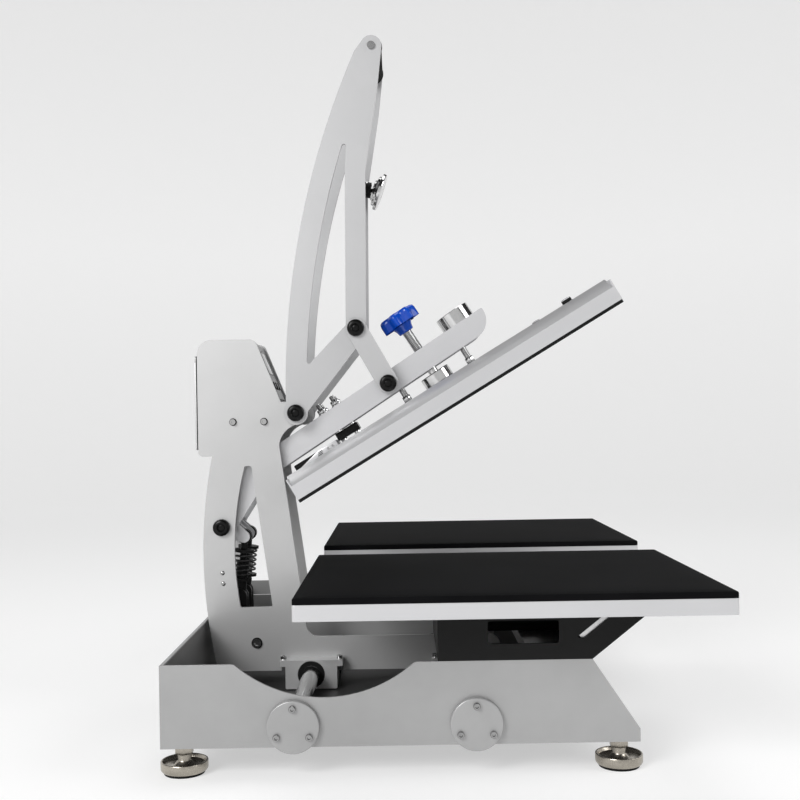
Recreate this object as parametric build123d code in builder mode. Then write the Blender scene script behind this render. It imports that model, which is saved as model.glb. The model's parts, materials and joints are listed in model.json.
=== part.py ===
"""Dual station heat press: a tray base with two fixed platens, a carriage that slides between them on
two round rails, and a toggle-closed arm that brings the heated head down on either platen.

+X points to the operator, +Y to the right-hand station and +Z up. The origin lies on the floor under
the middle of the machine. All sizes are in millimetres. The press is drawn open: head up, handle up,
carriage half way between the stations.
"""

import os
from math import cos, hypot, radians, sin, sqrt, tan

from build123d import *

os.makedirs("parts", exist_ok=True)

# Clearances
running_gap = 0.05
hole_gap = 0.2
face_gap = 0.3

# Base tray, folded from sheet
base_half_width = 352.0
base_sheet = 3.0
base_bottom = 38.0
base_top = 140.0
base_rear = -336.0
rear_lip = 5.0
deck_rear = 122.0
deck_front = 194.0
deck_fold = 16.0
toe_front = 251.0
toe_top = 54.0
scoop_middle = -134.0
scoop_width = 222.0
scoop_depth = 42.0
scoop_corner = 8.0

# Guide rails and their end flanges
rail_radius = 12.5
rail_height = 64.0
rear_rail_x = -173.0
rail_spacing = 224.0
flange_radius = 32.5
flange_thickness = 8.0
flange_screw_circle = 46.0
flange_screw_radius = 2.5
flange_screw_head = 4.4
socket_share = 0.55
socket_depth_share = 0.6
bolt_chamfer = 0.8
bumper_radius = 19.0
bumper_length = 5.7

# Levelling feet
foot_from_rear = 23.5
foot_from_toe = 21.0
foot_from_side = 30.0
foot_radius = 29.5
foot_underside_radius = 26.5
foot_sole = 3.0
foot_rim_top = 16.0
foot_rim_thickness = 2.5
foot_rim_bottom = 7.0
foot_dish = 11.0
foot_dish_radius = 14.0
foot_neck_radius = 8.5
foot_neck_top = 24.0
foot_stud_radius = 6.0
foot_stud_proud = 3.0
foot_nut_across = 21.0
foot_nut_height = 10.0
foot_lock_nut_height = 8.0
foot_washer_radius = 12.0
foot_washer = 3.5

# Platens
station_offset = 257.0
platen_length = 504.0
platen_width = 400.0
platen_thickness = 19.0
platen_corner = 4.0
platen_top = 229.0
pad_thickness = 8.0

# Platen supports, folded boxes that stand on the front deck
support_rear = 5.0
support_front_top = 283.0
support_inner_y = 165.0
support_sheet = 3.0
support_window_length = 87.0
support_window_height = 28.0
support_window_x = 110.0
support_window_z = 174.0
support_window_corner = 3.0
support_slot_inset = 43.0
support_slot_width = 10.0
support_slot_bottom = 166.0
support_slot_top = 196.0
platen_bolt_radius = 4.0
platen_bolt_depth = 12.0
platen_bolt_across = 13.0
platen_bolt_head = 5.0
platen_bolt_x_spread = 170.0
platen_bolt_y_spread = 110.0

# Pivots, and how far the parts turn to close the press
arm_pivot_x = -305.0
arm_pivot_z = 280.0
handle_pivot_x = -191.0
handle_pivot_z = 449.0
arm_open_angle = 33.0
handle_open_angle = 83.0
crank_length = 154.0
crank_angle = 53.6755
link_pin_along = 326.0
link_pin_above = 39.5

# Carriage cheeks
cheek_inside = 56.0
cheek_thickness = 6.0
cheek_bottom = 65.0
cheek_foot_top = 115.0
cheek_foot_front = 108.0
cheek_foot_rear = -313.0
cheek_waist_x = -333.0
cheek_waist_z = 225.0
cheek_leg_top_x = -318.0
cheek_front_top_x = -217.6
cheek_front_top_z = 401.7
cheek_front_slope = 7.7
cheek_leg_width = 46.0
cheek_slot_bottom = 160.0
cheek_slot_top = 371.0
cheek_foot_fillet = 18.0
cheek_slot_corner = 3.0
cheek_slot_foot_back = 12.0
cheek_slot_waist = 1.0
cheek_slot_top_width = 10.0
cheek_neck_bulge = 8.0
cheek_neck_drop = 12.0
box_screw_places = ((-285.6, 437.0), (-239.4, 437.0))
box_screw_radius = 2.5
box_screw_head = 4.4
cheek_bolt_place = (-255.3, 106.8)
cheek_bolt_radius = 3.5
cheek_bolt_head = 7.0
box_rear = -338.2
rear_gasket = 1.5
gasket_rim = 7.0
box_bottom = 386.0
box_top = 560.0
box_top_front = -252.0
box_slope_foot_x = -214.0
box_corner = 22.0
handle_lobe_radius = 18.0
cheek_lobe_radius = 17.0

# Linear bearings
block_length = 56.0
block_width = 76.0
block_bottom = 43.0
block_top = 85.0
block_ear_width = 92.0
block_ear_height = 9.0
block_end = 86.0
bushing_radius = 20.0
bushing_proud = 1.0
block_screw_radius = 2.5
block_screw_head = 4.5
block_screw_head_height = 5.0
block_screw_edge = 10.0
block_corner = 2.0
floor_plate = 6.0

# Control box
box_sheet = 2.0
box_inset = 2.0
box_top_back = 4.0
box_foot_back = 36.0
box_opening_rim = 8.0
facia_end_margin = 6.0
cover_corner = 3.0
facia_recess = 2.5
facia_margin = 1.0
display_width = 62.0
display_height = 26.0
display_rise = 20.0
display_proud = 0.6
button_radius = 6.0
button_pitch = 28.0
button_drop = 22.0
button_proud = 2.0
button_depth = 6.0
button_rounding = 1.0
rear_cover_bottom = 396.0
rear_cover_top = 536.0
inlet_width = 30.0
inlet_height = 26.0
inlet_drop = 40.0
inlet_depth = 14.0
inlet_side_wall = 3.0
inlet_end_wall = 4.5
inlet_corner = 2.5
inlet_pin_side = 7.0
inlet_pin_up = 3.0
inlet_pin_down = 2.0
inlet_pin_width = 2.0
inlet_pin_height = 4.0
cover_screw_radius = 1.5
cover_screw_head = 3.0
cover_screw_length = 12.0
cover_screw_edge = 3.0
rocker_width = 13.0
rocker_radius = 9.5
rocker_front = 6.0
rocker_back = 3.0
rocker_tilt = 8.0
rocker_pivot_x = -334.25
rocker_side = 30.0

# Shafts, bosses and their black end caps
main_shaft_radius = 8.0
link_shaft_radius = 7.0
shaft_collar_radius = 12.0
cap_radius = 12.6
cap_length = 9.0
cap_rounding = 3.15
handle_inner_y = 64.0
handle_plate = 6.0
link_inner_y = 72.0
link_plate = 6.0
link_radius = 15.5

# Arm, a channel of two side plates under a top web
arm_half_width = 45.0
arm_side_plate = 6.0
arm_web = 5.0
arm_bottom = 23.0
arm_depth = 34.0
arm_front = 507.0
arm_nose_top_radius = 2.5
arm_nose_radius = 30.0
arm_tail_along = 90.0
arm_hub_radius = 18.0
arm_lug_step = 3.0
arm_bolt_along = (219.0, 243.0)
arm_bolt_side = 30.0
arm_bolt_across = 12.0
arm_bolt_height = 8.0
bridge_thickness = 5.0
bridge_above = 28.0
bridge_length = 26.0

# Pressure screw, knob and the swivel that carries the head
spindle_along = 395.0
screw_radius = 8.0
nut_block_length = 46.0
nut_block_height = 22.0
screw_top = 92.0
screw_end = 1.0
knob_hub_radius = 13.0
knob_hub_length = 13.0
knob_radius = 32.0
knob_thickness = 21.0
knob_lobes = 7
knob_lobe_radius = 8.5
knob_edge = 3.0
knob_hub_taper = 8.0
swivel_above = 3.0
boss_radius = 24.5
boss_bottom = -1.5
boss_top = 16.0
boss_edge = 1.2
ball_radius = 9.0
seat_radius = 18.0
head_tilt = 2.1

# Heated head
head_length = 519.0
head_width = 410.0
head_height = 40.0
hot_plate_rim = 4.5
hot_plate_core = 12.0
hot_plate_inset = 8.0
hot_plate_corner = 3.0
cover_sheet = 2.0
cover_side = 20.5
cover_bevel = 32.0
cover_end_height = 36.0
closed_gap = 0.3
insulation_thickness = 12.0
guide_post_spread = 57.0
guide_post_radius = 5.0
guide_post_play = 1.6
guide_nut_across = 13.0
guide_nut_height = 11.0
guide_top_nut_above = 32.6
guide_top_nut_height = 6.0
terminal_from_rear = 98.5
terminal_length = 38.0
terminal_width = 60.0
terminal_height = 12.0
terminal_corner = 2.0
terminal_stand = 5.7
terminal_pillar_radius = 4.5
terminal_pillar_edge = 7.0
plug_from_front = 58.5
plug_side = 165.0
plug_radius = 7.0
plug_height = 6.0

# Holding magnet on the arm and its armature on the handle
magnet_along = 469.0
magnet_radius = 27.5
magnet_height = 22.0
magnet_core_radius = 11.0
magnet_coil_radius = 21.0
magnet_groove_depth = 1.0
magnet_edge = 0.8
armature_radius = 28.5
armature_thickness = 8.0
armature_edge = 1.0
armature_droop = 13.0
armature_ball_back = 9.0
armature_ball_radius = 5.0
armature_hub_radius = 11.0
armature_hub = 4.0
armature_stem = 22.0
armature_stem_radius = 3.0
armature_block_radius = 12.0
armature_block = 14.0
armature_bar_width = 26.0
armature_bar_thickness = 10.0
armature_gap = 0.3

# Handle plates
handle_top_z = 993.0
handle_top_radius = 15.5
handle_top_ahead = 24.95
handle_top_tangent = 139.5
bow_middle_x = 1041.0
bow_middle_z = 473.3
bow_radius = 1246.5
bow_width = 31.0
bow_below_top = 7.6
knee_ahead_of_foot = 2.278123
knee_below_top = 185.0
neck_ahead_of_top = 8.0
neck_below_top = 65.0
handle_front_width = 30.5
window_below_top = 126.0
window_foot_rise = 5.2
window_rear_rise = 68.2
handle_window_corner = 3.0
brace_below = 18.6
brace_below_foot = 13.0
top_rod_radius = 6.0
top_rod_spigot = 4.0
rod_screw_radius = 6.0
rod_screw_height = 2.5
grip_radius = 16.5
grip_collar = 5.0
grip_waist = 1.2
spreader_radius = 10.0
spreader_spigot = 7.0

# Lift struts
strut_side = 26.0
strut_foot_x = -285.0
strut_foot_z = 172.0
strut_top_along = 15.0
strut_top_above = -30.0
strut_pin_radius = 5.0
strut_top_pin_radius = 4.0
strut_eye_radius = 11.0
strut_eye_width = 11.0
strut_tube_radius = 9.0
strut_tube_top = 52.0
strut_rod_radius = 5.0
strut_rod_bottom = 34.0
strut_bore_bottom = 18.0
strut_flange_radius = 16.0
strut_flange = 4.0
strut_flange_top = 28.0
strut_collar_below_top = 20.0
strut_top_play = 2.0
spring_wire = 3.0
spring_radius = 13.0
spring_turns = 5
ear_thickness = 5.0
ear_gap = 0.5
ear_radius = 12.0
lug_radius = 9.0


def folded(points, thickness, side):
    """The section of a folded sheet: the drawn line is its outer face."""
    with BuildSketch() as section:
        with BuildLine():
            Polyline(*points)
            offset(amount=thickness, side=side, kind=Kind.INTERSECTION)
        make_face()
    return section.sketch


def both_sides(part):
    """The part and its mirror image across the middle plane, in one node."""
    with BuildPart() as pair:
        add(part)
        mirror(part, about=Plane.XZ)
    return pair.part


def other_side(part):
    """The right-hand twin of a left-hand part."""
    with BuildPart() as twin:
        mirror(part, about=Plane.XZ)
    return twin.part


def screws(plane, places, radius, length, head_radius, head_height):
    """Socket-headed screws: heads on the plane, shanks going down through it."""
    with BuildPart() as group:
        with BuildSketch(plane):
            with Locations(*places):
                Circle(head_radius)
        extrude(amount=head_height)
        with BuildSketch(plane.offset(head_height)):
            with Locations(*places):
                RegularPolygon(head_radius * socket_share, 6)
        extrude(amount=-head_height * socket_depth_share, mode=Mode.SUBTRACT)
        with BuildSketch(plane):
            with Locations(*places):
                Circle(radius)
        extrude(amount=-length)
    return group.part


def hex_bolts(plane, places, radius, length, across, head_height):
    """Hexagon-headed bolts: heads on the plane, shanks going down through it."""
    with BuildPart() as group:
        with BuildSketch(plane):
            with Locations(*places):
                RegularPolygon(across / 2, 6, major_radius=False)
        extrude(amount=head_height)
        chamfer(group.faces().sort_by(Axis(plane.origin, plane.z_dir))[-len(places):].edges(), bolt_chamfer)
        with BuildSketch(plane):
            with Locations(*places):
                Circle(radius)
        extrude(amount=-length)
    return group.part


def across(y):
    """An XZ plane at the given Y. It extrudes towards the left station."""
    return Plane.XZ.offset(-y)


def save(part, name):
    part.label = name
    export_step(part, f"parts/{name}.step")


# Levels that follow from the sizes above
platen_bottom = platen_top - platen_thickness
pad_top = platen_top + pad_thickness
arm_top = arm_bottom + arm_depth
front_rail_x = rear_rail_x + rail_spacing
rail_places = [(rear_rail_x, rail_height), (front_rail_x, rail_height)]
platen_middle = arm_pivot_x + spindle_along
side_inside = base_half_width - base_sheet

# Base
flange_holes = [
    (x + flange_screw_circle / 2 * cos(radians(angle)), z + flange_screw_circle / 2 * sin(radians(angle)))
    for x, z in rail_places
    for angle in (90, 210, 330)
]

with BuildPart() as base_side_left:
    with BuildSketch(across(-side_inside)) as side_outline:
        scoop_rear = scoop_middle - scoop_width / 2
        scoop_front = scoop_middle + scoop_width / 2
        with BuildLine():
            Polyline((scoop_rear, base_top), (base_rear, base_top), (base_rear, base_bottom),
                     (toe_front, base_bottom), (toe_front, toe_top), (deck_front, base_top),
                     (scoop_front, base_top))
            ThreePointArc((scoop_front, base_top), (scoop_middle, base_top - scoop_depth),
                          (scoop_rear, base_top))
        make_face()
        fillet(side_outline.vertices().group_by(Axis.Y)[-1].sort_by(Axis.X)[1:3], scoop_corner)
        with Locations(*rail_places):
            Circle(rail_radius + hole_gap, mode=Mode.SUBTRACT)
        with Locations(*flange_holes):
            Circle(flange_screw_radius + hole_gap, mode=Mode.SUBTRACT)
    extrude(amount=base_sheet)
save(base_side_left.part, "base_side_left")
save(other_side(base_side_left.part), "base_side_right")

with BuildPart() as base_rear_panel:
    with BuildSketch(across(side_inside)):
        add(folded([(base_rear, base_bottom), (base_rear, base_top), (base_rear + rear_lip, base_top)],
                   base_sheet, Side.RIGHT))
    extrude(amount=2 * side_inside)
save(base_rear_panel.part, "base_rear_panel")

with BuildPart() as base_front_panel:
    with BuildSketch(across(side_inside)):
        add(folded([(deck_rear, base_top - deck_fold), (deck_rear, base_top), (deck_front, base_top),
                    (toe_front, toe_top), (toe_front, base_bottom)], base_sheet, Side.RIGHT))
    extrude(amount=2 * side_inside)
save(base_front_panel.part, "base_front_panel")

foot_side_y = base_half_width - foot_from_side
foot_places = [(x, y) for x in (base_rear + foot_from_rear, toe_front - foot_from_toe)
               for y in (-foot_side_y, foot_side_y)]
with BuildPart() as base_floor:
    with BuildSketch(Plane.XY.offset(base_bottom)):
        with BuildLine():
            Polyline((base_rear + base_sheet, -side_inside), (toe_front - base_sheet, -side_inside),
                     (toe_front - base_sheet, side_inside), (base_rear + base_sheet, side_inside), close=True)
        make_face()
        with Locations(*foot_places):
            Circle(foot_stud_radius + hole_gap, mode=Mode.SUBTRACT)
    extrude(amount=base_sheet)
save(base_floor.part, "base_floor")

with BuildPart() as guide_rails:
    with BuildSketch(across(base_half_width)):
        with Locations(*rail_places):
            Circle(rail_radius)
    extrude(amount=2 * base_half_width)
save(guide_rails.part, "guide_rails")

with BuildPart() as flanges:
    with BuildSketch(across(-base_half_width)):
        with Locations(*rail_places):
            Circle(flange_radius)
        with Locations(*flange_holes):
            Circle(flange_screw_radius + hole_gap, mode=Mode.SUBTRACT)
    extrude(amount=flange_thickness)
    chamfer(flanges.faces().sort_by(Axis.Y)[0:2].edges().filter_by(GeomType.CIRCLE)
            .filter_by(lambda edge: edge.radius > flange_radius - 1), 1.0)
save(both_sides(flanges.part), "rail_flanges")

flange_face = across(-(base_half_width + flange_thickness))
save(both_sides(screws(flange_face, flange_holes, flange_screw_radius, flange_thickness + base_sheet,
                       flange_screw_head, 2 * flange_screw_radius)), "flange_screws")

with BuildPart() as bumpers:
    with BuildSketch(across(-(side_inside - bumper_length))):
        with Locations(*rail_places):
            Circle(bumper_radius)
            Circle(rail_radius + running_gap, mode=Mode.SUBTRACT)
    extrude(amount=bumper_length)
save(both_sides(bumpers.part), "rail_bumpers")

# Levelling feet: dished steel feet on rubber soles, whose studs are locked by nuts on both sides of the
# tray, with a rubber washer under it
with BuildPart() as foot_soles:
    with BuildSketch():
        with Locations(*foot_places):
            Circle(foot_underside_radius - 1)
    extrude(amount=foot_sole)
    with BuildSketch(Plane.XY.offset(base_bottom)):
        with Locations(*foot_places):
            Circle(foot_washer_radius)
            Circle(foot_stud_radius + running_gap, mode=Mode.SUBTRACT)
    extrude(amount=-foot_washer)
save(foot_soles.part, "foot_soles")

stud_top = base_bottom + base_sheet + foot_lock_nut_height + foot_stud_proud
with BuildPart() as one_foot:
    with BuildSketch(Plane.XZ):
        with BuildLine():
            Polyline((0, stud_top), (0, foot_sole), (foot_underside_radius, foot_sole))
            ThreePointArc((foot_underside_radius, foot_sole),
                          ((foot_underside_radius + 2 * foot_radius) / 3,
                           (2 * foot_sole + foot_rim_bottom) / 3), (foot_radius, foot_rim_bottom))
            Polyline((foot_radius, foot_rim_bottom), (foot_radius, foot_rim_top),
                     (foot_radius - foot_rim_thickness, foot_rim_top),
                     (foot_radius - 2 * foot_rim_thickness, foot_dish), (foot_dish_radius, foot_dish),
                     (foot_neck_radius, foot_rim_top), (foot_neck_radius, foot_neck_top),
                     (foot_stud_radius, foot_neck_top), (foot_stud_radius, stud_top), (0, stud_top))
        make_face()
    revolve(axis=Axis.Z)
with BuildPart() as levelling_feet:
    with Locations(*[(x, y, 0) for x, y in foot_places]):
        add(one_foot.part)
    with BuildSketch(Plane.XY.offset(base_bottom - foot_washer - foot_nut_height)):
        with Locations(*foot_places):
            RegularPolygon(foot_nut_across / 2, 6, major_radius=False)
    extrude(amount=foot_nut_height)
    with BuildSketch(Plane.XY.offset(base_bottom + base_sheet)):
        with Locations(*foot_places):
            RegularPolygon(foot_nut_across / 2, 6, major_radius=False)
    extrude(amount=foot_lock_nut_height)
save(levelling_feet.part, "levelling_feet")

# Platens, pads and their supports
bolt_rows = [support_window_x + platen_bolt_x_spread / 2, support_window_x - platen_bolt_x_spread / 2]
support_middle_y = (base_half_width + support_inner_y) / 2
bolt_places = [
    (x, -support_middle_y + side * platen_bolt_y_spread / 2) for x in bolt_rows for side in (-1, 1)
]

with BuildPart() as platen_left:
    with BuildSketch(Plane.XY.offset(platen_bottom)):
        with Locations((platen_middle, -station_offset)):
            RectangleRounded(platen_length, platen_width, platen_corner)
    extrude(amount=platen_thickness)
    with BuildSketch(Plane.XY.offset(platen_bottom)):
        with Locations(*bolt_places):
            Circle(platen_bolt_radius + running_gap)
    extrude(amount=platen_bolt_depth + 1, mode=Mode.SUBTRACT)
save(platen_left.part, "platen_left")
save(other_side(platen_left.part), "platen_right")

with BuildPart() as platen_pad_left:
    with BuildSketch(Plane.XY.offset(platen_top)):
        with Locations((platen_middle, -station_offset)):
            RectangleRounded(platen_length, platen_width, platen_corner)
    extrude(amount=pad_thickness)
save(platen_pad_left.part, "platen_pad_left")
save(other_side(platen_pad_left.part), "platen_pad_right")

support_run = (support_front_top - deck_front) / (platen_bottom - base_top)
slot_foot_x = deck_front + (support_slot_bottom - base_top) * support_run - support_slot_inset
slot_head_x = deck_front + (support_slot_top - base_top) * support_run - support_slot_inset
with BuildPart() as platen_support_left:
    with BuildSketch(across(-support_inner_y)):
        with BuildLine():
            Polyline((support_rear, base_top), (support_rear, platen_bottom),
                     (support_front_top, platen_bottom), (deck_front, base_top), close=True)
        make_face()
    extrude(amount=base_half_width - support_inner_y)
    offset(amount=-support_sheet, openings=platen_support_left.faces().sort_by(Axis.Z)[0])
    with BuildSketch(across(-support_inner_y)):
        with Locations((support_window_x, support_window_z)):
            RectangleRounded(support_window_length, support_window_height, support_window_corner)
    extrude(amount=base_half_width - support_inner_y, mode=Mode.SUBTRACT)
    with BuildSketch(across(-support_inner_y)) as support_slot:
        with BuildLine():
            Polyline((slot_foot_x - support_slot_width, support_slot_bottom),
                     (slot_foot_x, support_slot_bottom), (slot_head_x, support_slot_top),
                     (slot_head_x - support_slot_width, support_slot_top), close=True)
        make_face()
        fillet(support_slot.vertices(), support_window_corner / 2)
    extrude(amount=base_half_width - support_inner_y, mode=Mode.SUBTRACT)
    with BuildSketch(Plane.XY.offset(platen_bottom)):
        with Locations(*bolt_places):
            Circle(platen_bolt_radius + hole_gap)
    extrude(amount=-2 * support_sheet, mode=Mode.SUBTRACT)
save(platen_support_left.part, "platen_support_left")
save(other_side(platen_support_left.part), "platen_support_right")

bolt_seat = Plane(origin=(0, 0, platen_bottom - support_sheet), x_dir=(1, 0, 0), z_dir=(0, 0, -1))
save(both_sides(hex_bolts(bolt_seat, [(x, -y) for x, y in bolt_places], platen_bolt_radius,
                          support_sheet + platen_bolt_depth, platen_bolt_across, platen_bolt_head)),
     "platen_bolts")

# Rear cover's plane and screw places, which the cheeks share
cover_middle_z = (rear_cover_bottom + rear_cover_top) / 2
cover_plane = Plane(origin=(box_rear - rear_gasket, 0, cover_middle_z), x_dir=(0, -1, 0), z_dir=(-1, 0, 0))
cover_width = 2 * (cheek_inside + cheek_thickness)
cover_height = rear_cover_top - rear_cover_bottom
cover_screw_places = [
    (side * (cover_width / 2 - cover_screw_edge), end * (cover_height / 2 - 3 * cover_screw_edge))
    for side in (-1, 1)
    for end in (-1, 1)
]

# Carriage cheeks
cheek_front_run = tan(radians(cheek_front_slope))
cheek_front_foot_x = cheek_front_top_x + (cheek_front_top_z - cheek_foot_top) * cheek_front_run
lobe_top = handle_pivot_z + cheek_lobe_radius
slot_right_top_x = (
    cheek_front_top_x + (cheek_front_top_z - cheek_slot_top) * cheek_front_run - cheek_leg_width
)
slot_right_foot_x = (
    cheek_front_top_x + (cheek_front_top_z - cheek_slot_bottom) * cheek_front_run - cheek_leg_width
)

with BuildPart() as cheek_left:
    with BuildSketch(across(-cheek_inside)) as cheek_outline:
        with BuildLine():
            ThreePointArc((cheek_foot_rear, cheek_bottom), (cheek_waist_x, cheek_waist_z),
                          (cheek_leg_top_x, box_bottom))
            Polyline((cheek_leg_top_x, box_bottom), (box_rear, box_bottom), (box_rear, box_top),
                     (box_top_front, box_top), (box_slope_foot_x, lobe_top), (handle_pivot_x, lobe_top))
            ThreePointArc((handle_pivot_x, lobe_top), (handle_pivot_x + cheek_lobe_radius, handle_pivot_z),
                          (handle_pivot_x, handle_pivot_z - cheek_lobe_radius))
            ThreePointArc((handle_pivot_x, handle_pivot_z - cheek_lobe_radius),
                          (cheek_front_top_x + cheek_neck_bulge,
                           handle_pivot_z - cheek_lobe_radius - cheek_neck_drop),
                          (cheek_front_top_x, cheek_front_top_z))
            Polyline((cheek_front_top_x, cheek_front_top_z), (cheek_front_foot_x, cheek_foot_top),
                     (cheek_foot_front, cheek_foot_top), (cheek_foot_front, cheek_bottom),
                     (cheek_foot_rear, cheek_bottom))
        make_face()
        corners = cheek_outline.vertices()
        fillet(corners.sort_by_distance((box_rear, box_top))[0], box_corner)
        fillet(cheek_outline.vertices().sort_by_distance((box_rear, box_bottom))[0], box_corner / 3)
        fillet(cheek_outline.vertices().sort_by_distance((box_top_front, box_top))[0], box_corner / 2)
        fillet(cheek_outline.vertices().sort_by_distance((cheek_front_foot_x, cheek_foot_top))[0],
               cheek_foot_fillet)
        fillet(cheek_outline.vertices().sort_by_distance((cheek_foot_front, cheek_foot_top))[0],
               cheek_foot_fillet)
        with Locations(*[(x, (cheek_bottom + block_top) / 2) for x, _ in rail_places]):
            Rectangle(block_ear_width + 2 * hole_gap, block_top - cheek_bottom, mode=Mode.SUBTRACT)
        with Locations((handle_pivot_x, handle_pivot_z), (arm_pivot_x, arm_pivot_z)):
            Circle(main_shaft_radius + running_gap, mode=Mode.SUBTRACT)
        with Locations(*box_screw_places):
            Circle(box_screw_radius + hole_gap, mode=Mode.SUBTRACT)
        with Locations(cheek_bolt_place):
            Circle(cheek_bolt_radius + hole_gap, mode=Mode.SUBTRACT)
    extrude(amount=cheek_thickness)
    with BuildSketch(cover_plane):
        with Locations(*cover_screw_places):
            Circle(cover_screw_radius + hole_gap)
    extrude(amount=-cover_screw_length, mode=Mode.SUBTRACT)
    with BuildSketch(across(-cheek_inside)) as slot:
        slot_left_foot_x = cheek_foot_rear + cheek_leg_width - cheek_slot_foot_back
        slot_left_top_x = slot_right_top_x - cheek_slot_top_width
        with BuildLine():
            ThreePointArc((slot_left_foot_x, cheek_slot_bottom),
                          (cheek_waist_x + cheek_leg_width + cheek_slot_waist, cheek_waist_z),
                          (slot_left_top_x, cheek_slot_top))
            Polyline((slot_left_top_x, cheek_slot_top), (slot_right_top_x, cheek_slot_top),
                     (slot_right_foot_x, cheek_slot_bottom), (slot_left_foot_x, cheek_slot_bottom))
        make_face()
        fillet(slot.vertices(), cheek_slot_corner)
    extrude(amount=cheek_thickness, mode=Mode.SUBTRACT)
save(cheek_left.part, "cheek_left")
save(other_side(cheek_left.part), "cheek_right")

ear_screw_reach = block_ear_width / 2 - block_screw_head
outer_screw_y = block_end - block_screw_edge
inner_screw_y = block_end - block_length + block_screw_edge
with BuildPart() as carriage_floor:
    with BuildSketch(Plane.XY.offset(block_top)):
        with BuildLine():
            Polyline((cheek_foot_rear, -cheek_inside), (cheek_foot_front, -cheek_inside),
                     (cheek_foot_front, cheek_inside), (cheek_foot_rear, cheek_inside), close=True)
        make_face()
        with Locations(*[(x + side * ear_screw_reach, end * inner_screw_y) for x, _ in rail_places
                         for side in (-1, 1) for end in (-1, 1)]):
            Circle(block_screw_radius + hole_gap, mode=Mode.SUBTRACT)
    extrude(amount=floor_plate)
save(carriage_floor.part, "carriage_floor")

with BuildPart() as housings:
    with BuildSketch(across(-(block_end - block_length))):
        with Locations(*[(x, (block_bottom + block_top) / 2) for x, _ in rail_places]):
            RectangleRounded(block_width, block_top - block_bottom, block_corner)
        with Locations(*[(x, block_top - block_ear_height / 2) for x, _ in rail_places]):
            Rectangle(block_ear_width, block_ear_height)
        with Locations(*rail_places):
            Circle(bushing_radius + running_gap, mode=Mode.SUBTRACT)
    extrude(amount=block_length)
    with BuildSketch(Plane.XY.offset(block_top)):
        with Locations(*[(x + side * ear_screw_reach, -y) for x, _ in rail_places for side in (-1, 1)
                         for y in (outer_screw_y, inner_screw_y)]):
            Circle(block_screw_radius + hole_gap)
    extrude(amount=-block_ear_height, mode=Mode.SUBTRACT)
save(both_sides(housings.part), "bearing_housings")

with BuildPart() as bushings:
    with BuildSketch(across(-(block_end - block_length - bushing_proud))):
        with Locations(*rail_places):
            Circle(bushing_radius)
            Circle(rail_radius + running_gap, mode=Mode.SUBTRACT)
    extrude(amount=block_length + bushing_proud)
save(both_sides(bushings.part), "linear_bushings")

outer_screws = screws(Plane.XY.offset(block_top),
                      [(x + side * ear_screw_reach, -outer_screw_y) for x, _ in rail_places
                       for side in (-1, 1)],
                      block_screw_radius, block_ear_height, block_screw_head, block_screw_head_height)
inner_screws = screws(Plane.XY.offset(block_top + floor_plate),
                      [(x + side * ear_screw_reach, -inner_screw_y) for x, _ in rail_places
                       for side in (-1, 1)],
                      block_screw_radius, floor_plate + block_ear_height, block_screw_head,
                      block_screw_head_height)
box_screws = screws(across(-(cheek_inside + cheek_thickness)), box_screw_places, box_screw_radius,
                    cheek_thickness, box_screw_head, 2 * box_screw_radius)
cheek_bolts = screws(across(-(cheek_inside + cheek_thickness)), [cheek_bolt_place], cheek_bolt_radius,
                     cheek_thickness, cheek_bolt_head, cheek_bolt_radius)
with BuildPart() as cover_screws:
    with BuildSketch(cover_plane.offset(box_sheet)):
        with Locations(*cover_screw_places[:2]):
            Circle(cover_screw_head)
    extrude(amount=-box_sheet / 2)
    with BuildSketch(cover_plane.offset(box_sheet / 2)):
        with Locations(*cover_screw_places[:2]):
            Circle(cover_screw_radius)
    extrude(amount=-cover_screw_length)
save(both_sides(outer_screws + inner_screws + box_screws + cheek_bolts + cover_screws.part),
     "carriage_screws")

# Control box between the cheeks
slope_run = hypot(box_slope_foot_x - box_top_front, box_top - lobe_top)
slope_up = ((box_top_front - box_slope_foot_x) / slope_run, (box_top - lobe_top) / slope_run)
slope_out = (slope_up[1], -slope_up[0])
slope_middle = (
    (box_top_front + box_slope_foot_x) / 2 - facia_recess * slope_out[0],
    (box_top + lobe_top) / 2 - facia_recess * slope_out[1],
)
facia_plane = Plane(origin=(slope_middle[0], 0, slope_middle[1]), x_dir=(0, 1, 0),
                    z_dir=(slope_out[0], 0, slope_out[1]))
box_half = cheek_inside - hole_gap


def on_slope(rise, depth):
    """A point of the control box's front slope, in X and Z."""
    return (
        slope_middle[0] + rise * slope_up[0] - depth * slope_out[0],
        slope_middle[1] + rise * slope_up[1] - depth * slope_out[1],
    )


facia_half_height = slope_run / 2 - facia_end_margin
with BuildPart() as control_box:
    with BuildSketch(across(box_half)):
        with BuildLine():
            Polyline((box_rear, box_bottom + box_inset), (box_rear, box_top - box_corner),
                     (box_rear + box_corner, box_top - box_inset),
                     (box_top_front - box_top_back, box_top - box_inset),
                     on_slope(facia_half_height, box_sheet), on_slope(-facia_half_height, box_sheet),
                     (cheek_front_top_x - box_foot_back, box_bottom + box_inset), close=True)
        make_face()
    extrude(amount=2 * box_half)
    offset(amount=-box_sheet, mode=Mode.SUBTRACT)
    with BuildSketch(facia_plane):
        Rectangle(2 * (box_half - box_opening_rim), 2 * (facia_half_height - box_opening_rim))
    extrude(amount=-3 * box_sheet, mode=Mode.SUBTRACT)
    with BuildSketch(Plane.YZ.offset(box_rear)):
        with Locations((0, cover_middle_z)):
            Rectangle(2 * (box_half - box_opening_rim), cover_height - 2 * box_opening_rim)
    extrude(amount=2 * box_sheet, mode=Mode.SUBTRACT)
save(control_box.part, "control_box")

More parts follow.
